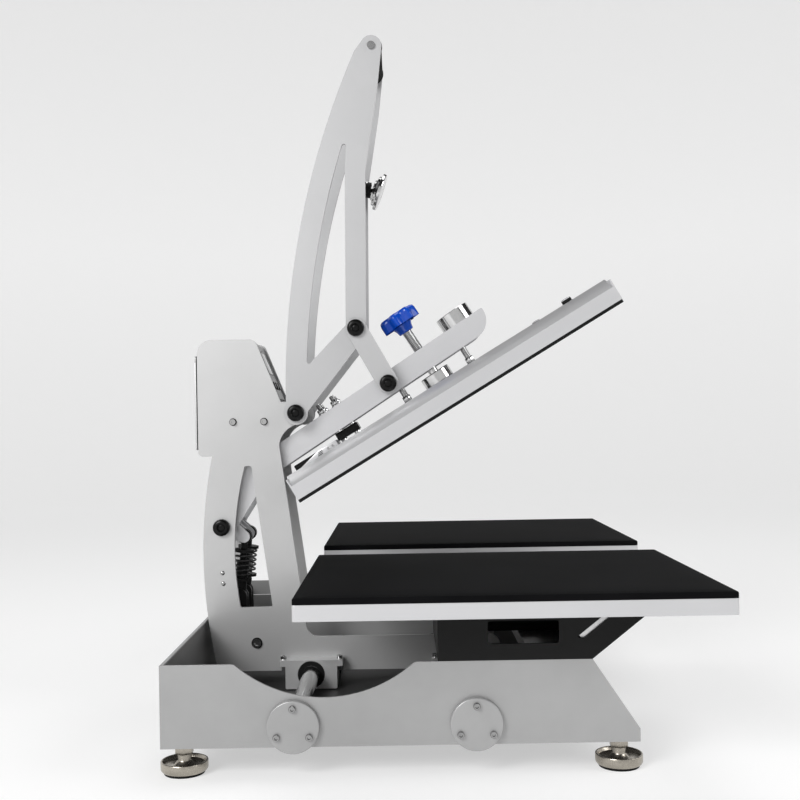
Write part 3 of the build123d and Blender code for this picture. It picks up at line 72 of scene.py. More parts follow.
# Directions and points of the moving pieces at rest, read from the joints
LIFT = Vector(JOINTS["head_lift"]["axis"]).normalized()
SWIVEL = Vector(JOINTS["head_level"]["pos_m"])
ARM_PIVOT = Vector(JOINTS["arm_pivot"]["pos_m"])
ARMATURE_BALL = Vector(JOINTS["armature_swivel"]["pos_m"])
FACIA_OUT = -Vector(JOINTS["button_mode_press"]["axis"]).normalized()
SIDEWAYS = Vector((0, 1, 0))
ARM_ALONG = SIDEWAYS.cross(LIFT)
ARMATURE_DROOP = radians(20.0)
ARMATURE_OUT = Vector((cos(ARMATURE_DROOP), 0, -sin(ARMATURE_DROOP)))
HEAD_TILT = radians(2.1)

# Levels and places of the fittings on their bodies, in millimetres
CHEEK_INNER = 56.0
CHEEK_OUTER = 62.0
ARM_TOP = 57.0
SCREW_ALONG = 395.0
COVER_TOP = -5.7
TERMINAL_ALONG = -161.0
TERMINAL_HEIGHT = 12.0

# The colour sockets of a Mix node
MIX_A, MIX_B, MIX_RESULT = 6, 7, 2


class PressSizes(bpy.types.PropertyGroup):
    """Edge and detail sizes that a user may change."""

    sheet_edge: FloatProperty(
        name="Sheet edge", description="Rounding of the sheet metal edges",
        default=0.7 * MM, min=0.1 * MM, max=1.4 * MM, subtype="DISTANCE", unit="LENGTH")
    pad_edge: FloatProperty(
        name="Pad edge", description="Rounding of the foam pads' upper edges",
        default=2.2 * MM, min=0.5 * MM, max=3.5 * MM, subtype="DISTANCE", unit="LENGTH")
    pad_crown: FloatProperty(
        name="Pad crown", description="How far the middle of a pad stands above its edge",
        default=0.8 * MM, min=0.0, max=2.0 * MM, subtype="DISTANCE", unit="LENGTH")
    thread_pitch: FloatProperty(
        name="Thread pitch", description="Pitch of the visible screw threads",
        default=2.5 * MM, min=1.0 * MM, max=3.0 * MM, subtype="DISTANCE", unit="LENGTH")
    turning_steps: IntProperty(
        name="Turning steps", description="Faces around a turned piece", default=48, min=24, max=96)
    knob_lobes: IntProperty(
        name="Knob lobes", description="Lobes around the pressure knob", default=7, min=5, max=9)


class PressColours(bpy.types.PropertyGroup):
    """Colours that a user may change."""

    # Darker than the carriage paint: partly the tray's own tone, partly painted shade for the weaker light low on
    # the press.
    tray_paint: FloatVectorProperty(
        name="Tray paint", description="Silver paint of the tray", subtype="COLOR",
        default=(0.36, 0.36, 0.36), min=0, max=1)
    carriage_paint: FloatVectorProperty(
        name="Carriage paint", description="Silver paint of the cheeks and the control box", subtype="COLOR",
        default=(0.5, 0.5, 0.5), min=0, max=1)
    lever_paint: FloatVectorProperty(
        name="Lever paint", description="Silver paint of the handle and the links", subtype="COLOR",
        default=(0.46, 0.46, 0.465), min=0, max=1)
    head_paint: FloatVectorProperty(
        name="Head paint", description="Light silver paint of the arm, head and platens", subtype="COLOR",
        default=(0.56, 0.56, 0.57), min=0, max=1)
    pad: FloatVectorProperty(
        name="Pad", description="Silicone foam of the platens", subtype="COLOR",
        default=(0.004, 0.004, 0.0045), min=0, max=1)
    knob: FloatVectorProperty(
        name="Knob", description="Plastic of the pressure knob", subtype="COLOR",
        default=(0.001, 0.055, 0.42), min=0, max=1)
    stage: FloatVectorProperty(
        name="Stage", description="Floor and backdrop", subtype="COLOR",
        default=(0.5, 0.5, 0.5), min=0, max=1)


class PressStage(bpy.types.PropertyGroup):
    """Camera and lights that a user may change."""

    lens: FloatProperty(
        name="Lens", description="Focal length on a 36 mm sensor", default=48.1, min=20, max=120)
    roll: FloatProperty(
        name="Roll", description="Sideways lean of the camera", default=radians(0.95),
        min=-0.1, max=0.1, subtype="ANGLE")
    key_power: FloatProperty(
        name="Key light", description="Power of the large light at the photograph's side", default=96,
        min=0, max=500, unit="POWER")
    fill_power: FloatProperty(
        name="Fill light", description="Power of the light in front of the press", default=40, min=0,
        max=500, unit="POWER")
    top_power: FloatProperty(
        name="Top light", description="Power of the light overhead", default=30, min=0, max=500,
        unit="POWER")


# Finishes

def add_node(tree, kind, **values):
    """A shader node with the given attributes and input values."""
    node = tree.nodes.new(kind)
    for name, value in values.items():
        if name in node.inputs:
            node.inputs[name].default_value = value
        else:
            setattr(node, name, value)
    return node


def grey(value):
    """A colour of equal parts."""
    return (value, value, value)


def finish(name, colour, metallic, roughness, cloud=0.05, cloud_scale=5.0, grain_scale=900.0,
           grain_depth=0.02, stretch=(1, 1, 1), spread=0.06, coat=0.0, gloss=0.5, scuffs=0.0):
    """A finish on Object coordinates: slow colour clouds, a fine grain in bump and roughness, and scuffs."""
    made = bpy.data.materials.new(name)
    made.use_nodes = True
    tree = made.node_tree
    shader = tree.nodes["Principled BSDF"]
    shader.inputs["Metallic"].default_value = metallic
    shader.inputs["Coat Weight"].default_value = coat
    shader.inputs["Coat Roughness"].default_value = 0.08
    shader.inputs["Specular IOR Level"].default_value = gloss
    link = tree.links.new
    coords = add_node(tree, "ShaderNodeTexCoord")
    place = add_node(tree, "ShaderNodeMapping", Scale=stretch)
    link(coords.outputs["Object"], place.inputs["Vector"])
    clouds = add_node(tree, "ShaderNodeTexNoise", Scale=cloud_scale, Detail=5.0, Roughness=0.6)
    link(coords.outputs["Object"], clouds.inputs["Vector"])
    ramp = add_node(tree, "ShaderNodeValToRGB")
    ramp.color_ramp.elements[0].position = 0.3
    ramp.color_ramp.elements[1].position = 0.7
    ramp.color_ramp.elements[0].color = (*[c * (1 - cloud) for c in colour], 1)
    ramp.color_ramp.elements[1].color = (*[min(1, c * (1 + cloud)) for c in colour], 1)
    link(clouds.outputs["Fac"], ramp.inputs["Fac"])
    grain = add_node(tree, "ShaderNodeTexNoise", Scale=grain_scale, Detail=3.0, Roughness=0.55)
    link(place.outputs["Vector"], grain.inputs["Vector"])
    rough = add_node(tree, "ShaderNodeMapRange")
    rough.inputs["To Min"].default_value = max(0.02, roughness - spread)
    rough.inputs["To Max"].default_value = min(1.0, roughness + spread)
    link(grain.outputs["Fac"], rough.inputs["Value"])
    link(rough.outputs["Result"], shader.inputs["Roughness"])
    if scuffs:
        marks = add_node(tree, "ShaderNodeTexNoise", Scale=38.0, Detail=8.0, Roughness=0.75)
        link(coords.outputs["Object"], marks.inputs["Vector"])
        narrow = add_node(tree, "ShaderNodeValToRGB")
        narrow.color_ramp.elements[0].position = 0.62
        narrow.color_ramp.elements[1].position = 0.74
        narrow.color_ramp.elements[1].color = (scuffs, scuffs, scuffs, 1)
        link(marks.outputs["Fac"], narrow.inputs["Fac"])
        worn = add_node(tree, "ShaderNodeMix", data_type="RGBA")
        link(narrow.outputs["Color"], worn.inputs["Factor"])
        link(ramp.outputs["Color"], worn.inputs[MIX_A])
        worn.inputs[MIX_B].default_value = (*[min(1, c * 1.35 + 0.02) for c in colour], 1)
        link(worn.outputs[MIX_RESULT], shader.inputs["Base Color"])
    else:
        link(ramp.outputs["Color"], shader.inputs["Base Color"])
    bump = add_node(tree, "ShaderNodeBump", Strength=0.5, Distance=grain_depth * MM)
    link(grain.outputs["Fac"], bump.inputs["Height"])
    link(bump.outputs["Normal"], shader.inputs["Normal"])
    return made


FINISHES = {}


def make_finishes(colours):
    """The finishes of the press, by the name of what they cover."""
    FINISHES.update({
        # The tray's silver is darker partly for its own tone and partly as painted shade.
        "tray_paint": finish("tray_paint", tuple(colours.tray_paint), 0.45, 0.34, cloud=0.13,
                             cloud_scale=3.2, grain_scale=1400, grain_depth=0.03, scuffs=0.05),
        "carriage_paint": finish("carriage_paint", tuple(colours.carriage_paint), 0.45, 0.38, cloud=0.05,
                                 grain_scale=1400, grain_depth=0.03, scuffs=0.05),
        # Near-black painted shade: the floors inside the tray and the carriage are darkened to stand for the deep
        # shade there.
        "floor_paint": finish("floor_paint", grey(0.06), 0.2, 0.5, cloud=0.1, grain_scale=1200,
                              grain_depth=0.03, gloss=0.25),
        "lever_paint": finish("lever_paint", tuple(colours.lever_paint), 0.45, 0.36, cloud=0.04,
                              grain_scale=1400, grain_depth=0.03, scuffs=0.05),
        "head_paint": finish("head_paint", tuple(colours.head_paint), 0.45, 0.34, cloud=0.03,
                             grain_scale=1400, grain_depth=0.03),
        "machined": finish("machined", grey(0.72), 0.6, 0.34, cloud=0.06, grain_scale=260,
                           stretch=(0.08, 1.0, 1.0), grain_depth=0.02, spread=0.12),
        "turned_steel": finish("turned_steel", grey(0.33), 1.0, 0.22, cloud=0.12, cloud_scale=30,
                               grain_scale=500, grain_depth=0.01, spread=0.1),
        "nickel": finish("nickel", (0.4, 0.37, 0.32), 1.0, 0.27, cloud=0.16, cloud_scale=40,
                         grain_scale=700, grain_depth=0.02, spread=0.12),
        "chrome": finish("chrome", grey(0.55), 1.0, 0.12, cloud=0.08, cloud_scale=30, grain_scale=300,
                         grain_depth=0.005, spread=0.05),
        "black_plastic": finish("black_plastic", grey(0.004), 0.0, 0.24, cloud=0.15, grain_scale=1300,
                                grain_depth=0.02, gloss=0.16),
        # Black paint of the struts, brackets and mount; on the platen supports the same near-black is painted
        # shade.
        "black_paint": finish("black_paint", grey(0.01), 0.0, 0.45, cloud=0.15, grain_scale=1100,
                              grain_depth=0.03, gloss=0.12, scuffs=0.05),
        "black_coat": finish("black_coat", grey(0.008), 0.0, 0.4, cloud=0.1, grain_scale=900,
                             grain_depth=0.01, gloss=0.1),
        "black_rubber": finish("black_rubber", grey(0.01), 0.0, 0.65, cloud=0.2, grain_scale=900,
                               grain_depth=0.05, gloss=0.1),
        "pad_foam": finish("pad_foam", tuple(colours.pad), 0.0, 0.75, cloud=0.25, cloud_scale=9,
                           grain_scale=2200, grain_depth=0.06, gloss=0.04),
        "blue_plastic": finish("blue_plastic", tuple(colours.knob), 0.0, 0.2, cloud=0.08,
                               grain_scale=600, grain_depth=0.006, coat=0.2, gloss=0.3, spread=0.05),
        "dark_glass": finish("dark_glass", grey(0.006), 0.0, 0.08, cloud=0.1, grain_scale=300,
                             grain_depth=0.002, coat=0.5, spread=0.02),
        "spring_steel": finish("spring_steel", grey(0.06), 0.8, 0.35, cloud=0.2, grain_scale=900,
                               grain_depth=0.02),
        "blanket": finish("blanket", (0.6, 0.57, 0.5), 0.0, 0.9, cloud=0.1, grain_scale=700,
                          grain_depth=0.2),
        # Near-black for the magnet's coil, and painted shade in the cable cover's slots.
        "deep_black": finish("deep_black", grey(0.004), 0.0, 0.8, cloud=0.1, grain_depth=0.01, gloss=0.1),
    })


# Modelling helpers

def pointing(origin, up, along=(0, 1, 0)):
    """A placement at the origin whose Z is the up direction and whose Y lies nearest to the along one."""
    z = Vector(up).normalized()
    x = Vector(along).cross(z).normalized()
    y = z.cross(x)
    place = Matrix((x, y, z)).transposed().to_4x4()
    place.translation = Vector(origin)
    return place


def facing_side(centre, side):
    """A placement that faces sideways, to -Y or +Y."""
    return pointing(centre, (0, side, 0), (0, 0, 1))


def shifted(place, x=0.0, y=0.0, z=0.0):
    """The place moved along its own axes, in millimetres."""
    return place @ Matrix.Translation((x * MM, y * MM, z * MM))


def joined(target, shape, place=None, material=0):
    """Adds a finished shape to the target at its place, with its faces on that material slot."""
    if place is not None:
        bmesh.ops.transform(shape, matrix=place, verts=shape.verts)
    for face in shape.faces:
        face.material_index = material
    mesh = bpy.data.meshes.new("step")
    shape.to_mesh(mesh)
    shape.free()
    target.from_mesh(mesh)
    bpy.data.meshes.remove(mesh)


def turned(profile, steps):
    """A shape turned about Z from its profile of radius and height, in millimetres."""
    shape = bmesh.new()
    verts = [shape.verts.new((radius * MM, 0, height * MM)) for radius, height in profile]
    edges = [shape.edges.new(pair) for pair in zip(verts, verts[1:])]
    bmesh.ops.spin(shape, geom=verts + edges, cent=(0, 0, 0), axis=(0, 0, 1), angle=2 * pi, steps=steps,
                   use_merge=True)
    bmesh.ops.remove_doubles(shape, verts=shape.verts, dist=0.001 * MM)
    bmesh.ops.recalc_face_normals(shape, faces=shape.faces)
    return shape


def prism(sides, radius, height, edge=0.5, turn=0.0):
    """An upright prism with bevelled edges, such as a hexagon nut; sizes in millimetres."""
    shape = bmesh.new()
    base = bmesh.ops.create_circle(shape, cap_ends=True, segments=sides, radius=radius * MM)
    face = base["verts"][0].link_faces[0]
    top = bmesh.ops.extrude_face_region(shape, geom=[face])
    moved = [v for v in top["geom"] if isinstance(v, bmesh.types.BMVert)]
    bmesh.ops.translate(shape, vec=(0, 0, height * MM), verts=moved)
    if edge:
        bmesh.ops.bevel(shape, geom=shape.edges, offset=edge * MM, affect="EDGES", segments=2, profile=0.5,
                        material=-1)
    bmesh.ops.rotate(shape, cent=(0, 0, 0), matrix=Matrix.Rotation(turn, 3, "Z"), verts=shape.verts)
    bmesh.ops.recalc_face_normals(shape, faces=shape.faces)
    return shape


def block(size, edge=1.0, segments=3):
    """A block centred on its place with rounded edges; sizes in millimetres."""
    shape = bmesh.new()
    bmesh.ops.create_cube(shape, size=1.0)
    bmesh.ops.scale(shape, vec=[side * MM for side in size], verts=shape.verts)
    bmesh.ops.bevel(shape, geom=shape.edges, offset=edge * MM, affect="EDGES", segments=segments,
                    profile=0.5, material=-1)
    return shape


def threaded(radius, depth, pitch, length, steps=28):
    """A screw thread up Z; sizes in millimetres."""
    shape = bmesh.new()
    turns = max(1, round(length / pitch))
    verts = [shape.verts.new((r * MM, 0, z * MM)) for r, z in
             ((radius - depth, 0), (radius, pitch * 0.42), (radius, pitch * 0.58), (radius - depth, pitch))]
    edges = [shape.edges.new(pair) for pair in zip(verts, verts[1:])]
    bmesh.ops.spin(shape, geom=verts + edges, cent=(0, 0, 0), axis=(0, 0, 1), angle=2 * pi * turns,
                   steps=steps * turns, dvec=(0, 0, pitch * MM / steps))
    bmesh.ops.remove_doubles(shape, verts=shape.verts, dist=0.002 * MM)
    bmesh.ops.holes_fill(shape, edges=shape.edges, sides=0)
    bmesh.ops.recalc_face_normals(shape, faces=shape.faces)
    return shape


def socket_screw(head_radius, head_height, steps=32):
    """A socket screw's head, its top up, with a hexagon socket; sizes in millimetres."""
    wall = head_radius * 0.52
    floor = head_height * 0.45
    return turned([(0, 0), (head_radius, 0), (head_radius, head_height * 0.8),
                   (head_radius * 0.86, head_height), (wall, head_height), (wall, floor), (0, floor)], steps)


def add_piece(context, name, shape, finishes, nodes=(), body=None, smooth=30):
    """Makes the shape an object of the press, riding on its body and standing for the nodes named."""
    mesh = bpy.data.meshes.new(name)
    shape.to_mesh(mesh)
    shape.free()
    for key in finishes:
        mesh.materials.append(FINISHES[key])
    mesh.shade_smooth()
    mesh.set_sharp_from_angle(angle=radians(smooth))
    piece = bpy.data.objects.new(name, mesh)
    context.scene.collection.objects.link(piece)
    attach(piece, body or BODY_OF[nodes[0]])
    if nodes:
        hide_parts(*nodes)
    return piece


def dressed(node, key):
    """Gives a CAD node a finish."""
    for slot in NODES[node].material_slots:
        slot.material = FINISHES[key]


def softened(context, node, key, edge, segments=2):
    """A copy of a CAD node whose sharp edges are rounded, standing for the node."""
    shape = bmesh.new()
    shape.from_mesh(NODES[node].data)
    bmesh.ops.remove_doubles(shape, verts=shape.verts, dist=0.01 * MM)
    bmesh.ops.dissolve_limit(shape, angle_limit=radians(1.0), verts=shape.verts, edges=shape.edges)
    piece = add_piece(context, node + "_shown", shape, [key], nodes=(node,))
    rounding = piece.modifiers.new("edge", "BEVEL")
    rounding.width = edge
    rounding.segments = segments
    rounding.limit_method = "ANGLE"
    rounding.angle_limit = radians(40)
    rounding.harden_normals = False
    return piece


# Pieces

class PRESS_OT_base(bpy.types.Operator):
    """Tray, rails, flanges and screws"""

    bl_idname = "press.base"
    bl_label = "Base and rails"

    def execute(self, context):
        edge = context.scene.press_sizes.sheet_edge
        # The tray's sheets carry its darker paint, which is partly painted shade.
        for node in ("base_side_left", "base_side_right", "base_rear_panel", "base_front_panel"):
            softened(context, node, "tray_paint", edge)
        # The tray's floor is made near-black as painted shade.
        dressed("base_floor", "floor_paint")
        dressed("guide_rails", "chrome")
        softened(context, "rail_flanges", "tray_paint", edge)
        dressed("rail_bumpers", "black_rubber")
        dressed("platen_bolts", "turned_steel")
        self.flange_screws(context)
        return {"FINISHED"}

    def flange_screws(self, context):
        """The socket screws of the rail flanges, at the places of the solids' heads."""
        head_radius, head_height = 4.4, 5.0
        shape = bmesh.new()
        for centre, side in screw_heads("flange_screws", head_height * MM):
            joined(shape, socket_screw(head_radius, head_height), facing_side(centre, side))
        add_piece(context, "flange_screws_shown", shape, ["turned_steel"], nodes=("flange_screws",))


def islands(node):
    """The lowest and highest corner of each separate solid of a node."""
    shape = bmesh.new()
    shape.from_mesh(NODES[node].data)
    bmesh.ops.remove_doubles(shape, verts=shape.verts, dist=0.01 * MM)
    left = set(shape.verts)
    found = []
    while left:
        group = [left.pop()]
        for vert in group:
            for link_edge in vert.link_edges:
                other = link_edge.other_vert(vert)
                if other in left:
                    left.discard(other)
                    group.append(other)
        corners = [v.co.copy() for v in group]
        low = Vector([min(c[i] for c in corners) for i in range(3)])
        high = Vector([max(c[i] for c in corners) for i in range(3)])
        found.append((low, high))
    shape.free()
    return sorted(found, key=lambda pair: tuple(round(value, 4) for value in pair[0]))


def screw_heads(node, head_height):
    """The foot of each sideways screw head of a node, and the side that it faces."""
    heads = []
    for low, high in islands(node):
        side = -1 if low.y < 0 else 1
        outer = low.y if side < 0 else high.y
        foot = Vector(((low.x + high.x) / 2, outer - side * head_height, (low.z + high.z) / 2))
        heads.append((foot, side))
    return heads


class PRESS_OT_feet(bpy.types.Operator):
    """Levelling feet with soles, studs and nuts"""

    bl_idname = "press.feet"
    bl_label = "Levelling feet"

    def execute(self, context):
        steps = context.scene.press_sizes.turning_steps
        dish = [(0, 3), (26, 3), (28, 3.9), (29.2, 5.6), (29.5, 7.2), (29.5, 15), (29.1, 15.7), (28.3, 16),
                (27.4, 15.8), (26.6, 14.8), (25.2, 11.8), (23.8, 11), (14.5, 11), (12.8, 11.6),
                (10.4, 14.4), (9.2, 15.6), (8.5, 17), (8.5, 24), (0, 24)]
        sole = [(0, 0), (25, 0), (25.5, 0.6), (25.5, 2.6), (25.2, 3), (0, 3)]
        washer = [(0, 34.6), (11.5, 34.6), (12, 35), (12, 37.5), (11.6, 38), (0, 38)]
        nut_radius, neck_top, lock_nut_foot, thread_foot = 12.1, 24.1, 41, 34.5
        feet = bmesh.new()
        soles = bmesh.new()
        for low, high in islands("levelling_feet"):
            place = Matrix.Translation(((low.x + high.x) / 2, (low.y + high.y) / 2, 0))
            joined(feet, turned(dish, steps), place)
            joined(feet, prism(6, nut_radius, 10.4, 0.9), shifted(place, z=neck_top))
            joined(feet, prism(6, nut_radius, 7.9, 0.8), shifted(place, z=lock_nut_foot))
            joined(feet, threaded(6, 0.7, 1.75, 17.5), shifted(place, z=thread_foot))
            joined(soles, turned(sole, steps), place)
            joined(soles, turned(washer, steps), place)
        add_piece(context, "levelling_feet_shown", feet, ["nickel"], nodes=("levelling_feet",))
        add_piece(context, "foot_soles_shown", soles, ["black_rubber"], nodes=("foot_soles",))
        return {"FINISHED"}


class PRESS_OT_platens(bpy.types.Operator):
    """Platens, their foam pads and supports"""

    bl_idname = "press.platens"
    bl_label = "Platens and pads"

    def execute(self, context):
        sizes = context.scene.press_sizes
        platen_edge = 0.9 * MM
        for side in ("left", "right"):
            softened(context, f"platen_{side}", "head_paint", platen_edge, 3)
            # The supports are near-black, which stands in for the shade they sit in under the platens.
            softened(context, f"platen_support_{side}", "black_paint", sizes.sheet_edge)
            self.pad(context, f"platen_pad_{side}", sizes)
        self.straps(context)
        return {"FINISHED"}

    def straps(self, context):
        """Bright steel straps behind the slanted slots of the supports."""
        slot_foot, slot_top = Vector((184.06, 0, 166)), Vector((222.2, 0, 196))
        strap_size = (13, 1.2, 54)
        walls = (-348.3, -168.7, 168.7, 348.3)
        shape = bmesh.new()
        middle = (slot_foot + slot_top) / 2 * MM
        lean = (slot_top - slot_foot).normalized()
        for wall in walls:
            place = pointing(Vector((middle.x, wall * MM, middle.z)), lean)
            joined(shape, block(strap_size, 0.3, 2), place)
        add_piece(context, "support_straps", shape, ["machined"], body=BODY_OF["platen_support_left"])

    def pad(self, context, node, sizes):
        """A foam pad: rounded corners and upper edges, slightly crowned."""
        corner, margin, cuts = 4 * MM, 40 * MM, 18
        low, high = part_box(node)
        middle = (low + high) / 2
        span = high - low
        shape = bmesh.new()
        bmesh.ops.create_cube(shape, size=1.0)
        bmesh.ops.scale(shape, vec=span, verts=shape.verts)
        uprights = [e for e in shape.edges if abs(e.verts[0].co.z - e.verts[1].co.z) > span.z / 2]
        bmesh.ops.bevel(shape, geom=uprights, offset=corner, affect="EDGES", segments=6, profile=0.5,
                        material=-1)
        rims = [e for e in shape.edges if min(v.co.z for v in e.verts) > 0 and len(e.link_faces) == 2
                and max(abs(f.normal.z) for f in e.link_faces) > 0.9]
        bmesh.ops.bevel(shape, geom=rims, offset=sizes.pad_edge, affect="EDGES", segments=4, profile=0.5,
                        material=-1)
        for axis, reach in ((0, span.x), (1, span.y)):
            for step in range(1, cuts):
                normal = Vector((0, 0, 0))
                normal[axis] = 1
                point = normal * reach * (step / cuts - 0.5)
                bmesh.ops.bisect_plane(shape, geom=shape.verts[:] + shape.edges[:] + shape.faces[:],
                                       plane_co=point, plane_no=normal)
        for vert in shape.verts:
            if vert.co.z > 0:
                inward_x = min(1, (span.x / 2 - abs(vert.co.x)) / margin)
                inward_y = min(1, (span.y / 2 - abs(vert.co.y)) / margin)
                vert.co.z += sizes.pad_crown * (max(0, min(inward_x, inward_y)) ** 0.5 - 1)
        bmesh.ops.translate(shape, vec=middle, verts=shape.verts)
        piece = add_piece(context, node + "_shown", shape, ["pad_foam"], nodes=(node,))


class PRESS_OT_carriage(bpy.types.Operator):
    """Cheeks, floor plate, bearings, control box and pivots"""

    bl_idname = "press.carriage"
    bl_label = "Carriage"

    def execute(self, context):
        edge = context.scene.press_sizes.sheet_edge
        for node in ("cheek_left", "cheek_right", "control_box", "rear_cover"):
            softened(context, node, "carriage_paint", edge)
        # The carriage floor is made near-black as painted shade.
        dressed("carriage_floor", "floor_paint")
        softened(context, "bearing_housings", "machined", edge)
        dressed("linear_bushings", "turned_steel")
        self.seals(context)
        dressed("rear_gasket", "black_rubber")
        dressed("pivot_shafts", "turned_steel")
        dressed("strut_brackets", "black_paint")
        dressed("power_inlet", "black_plastic")
        softened(context, "facia_panel", "black_plastic", 0.3 * MM)
        softened(context, "rocker_switch", "black_plastic", 0.6 * MM, 3)
        for node in ("button_down", "button_mode", "button_up"):
            dressed(node, "black_plastic")
        self.facia_marks(context)
        dressed("carriage_screws", "chrome")
        self.small_screws(context)
        return {"FINISHED"}

    def facia_marks(self, context):
        """A pale raised arrow or lozenge on each button, and a dark window above them on the facia."""
        axes = pointing((0, 0, 0), FACIA_OUT, (0, 0, 1))
        back = axes.inverted()

        def reach(node):
            """The ends of a node across, up and out of the facia."""
            corners = [back @ vert.co for vert in NODES[node].data.vertices]
            return [(min(c[i] for c in corners), max(c[i] for c in corners)) for i in range(3)]

        mark_radius, mark_height, sunk = 3.0, 0.3, 0.1 * MM
        for node, sides, turn in (("button_up", 3, 0.0), ("button_mode", 4, 0.0), ("button_down", 3, pi)):
            across, up, out = reach(node)
            foot = Vector((sum(across) / 2, sum(up) / 2, out[1] - sunk))
            shape = bmesh.new()
            joined(shape, prism(sides, mark_radius, mark_height, 0.08, turn),
                   axes @ Matrix.Translation(foot))
            add_piece(context, node + "_mark", shape, ["machined"], body=BODY_OF[node])
        across, up, out = reach("facia_panel")
        button_top = reach("button_mode")[1][1]
        width_share, height_share = 0.66, 0.56
        width = (across[1] - across[0]) / MM * width_share
        height = (up[1] - button_top) / MM * height_share
        middle = Vector((sum(across) / 2, (up[1] + button_top) / 2, out[1]))
        shape = bmesh.new()
        joined(shape, block((width, height, 0.8), 0.3, 3), axes @ Matrix.Translation(middle))
        add_piece(context, "display_window", shape, ["dark_glass"], body="carriage")

    def seals(self, context):
        """Black lip seals on both ends of the linear bushings."""
        lip = [(12.7, -1), (12.7, 0.1), (13.6, 0.15), (19.0, 0.15), (19.4, -0.1), (19.4, -0.6), (12.7, -1)]
        shape = bmesh.new()
        for low, high in islands("linear_bushings"):
            for side, reach in ((-1, low.y), (1, high.y)):
                centre = Vector(((low.x + high.x) / 2, reach, (low.z + high.z) / 2))
                joined(shape, turned(lip, 48), facing_side(centre, side))
        add_piece(context, "bushing_seals", shape, ["black_rubber"], body="carriage")

    def small_screws(self, context):
        """Button screws that hold the strut brackets, and black washers under the cheeks' through screws that
        paint a ring of shade round each head.
        """
        button_head = [(0, 0), (3.4, 0), (3.3, 0.5), (2.6, 1.1), (1.6, 1.4), (1.5, 0.7), (0, 0.7)]
        bracket_holes = ((-305, 212), (-304, 196))
        shade_washer_overlap = 1.2
        shape = bmesh.new()
        for side in (-1, 1):
            for along, above in bracket_holes:
                foot = Vector((along * MM, side * CHEEK_OUTER * MM, above * MM))
                joined(shape, turned(button_head, 24), facing_side(foot, side))
        add_piece(context, "bracket_screws", shape, ["turned_steel"], body="carriage")
        shape = bmesh.new()
        # Black washers a little wider than the heads: a painted ring of shade round each through screw.
        for low, high in islands("carriage_screws"):
            side = -1 if low.y < 0 else 1
            from_inner = abs(min(abs(low.y), abs(high.y)) - CHEEK_INNER * MM)
            if from_inner < 0.3 * MM and high.y - low.y > 8 * MM:
                radius = (high.x - low.x) / 2 / MM + shade_washer_overlap
                foot = Vector(((low.x + high.x) / 2, side * CHEEK_OUTER * MM, (low.z + high.z) / 2))
                washer = [(0, 0), (radius, 0), (radius, 0.4), (radius - 0.2, 0.6), (0, 0.6)]
                joined(shape, turned(washer, 32), facing_side(foot, side))
        add_piece(context, "screw_washers", shape, ["black_plastic"], body="carriage")


class PRESS_OT_caps(bpy.types.Operator):
    """Black caps on the pivots, with their sockets"""

    bl_idname = "press.caps"
    bl_label = "Pivot caps"

    def execute(self, context):
        steps = context.scene.press_sizes.turning_steps
        cap = [(0, 0), (12.2, 0), (12.6, 0.6), (12.6, 5.2), (11.9, 7.2), (10.2, 8.5), (8.2, 8.9), (6.4, 9),
               (5.9, 8.6), (5.9, 5), (0, 5)]
        ribs, rib_size, rib_radius, rib_height = 18, (0.9, 0.9, 4.2), 12.35, 2.9
        socket_floor = 5
        for node in ("pivot_caps", "arm_caps", "link_caps"):
            shape = bmesh.new()
            for low, high in islands(node):
                side = -1 if low.y < 0 else 1
                inner = high.y if side < 0 else low.y
                centre = ((low.x + high.x) / 2, inner, (low.z + high.z) / 2)
                place = facing_side(centre, side)
                joined(shape, turned(cap, steps), place)
                for turn in range(ribs):
                    spoke = place @ Matrix.Rotation(2 * pi * turn / ribs, 4, "Z")
                    joined(shape, block(rib_size, 0.3, 2), shifted(spoke, rib_radius, 0, rib_height))
                joined(shape, prism(6, 5.6, 1.2, 0.3), shifted(place, z=socket_floor))
            add_piece(context, node + "_shown", shape, ["black_plastic"], nodes=(node,))
        return {"FINISHED"}


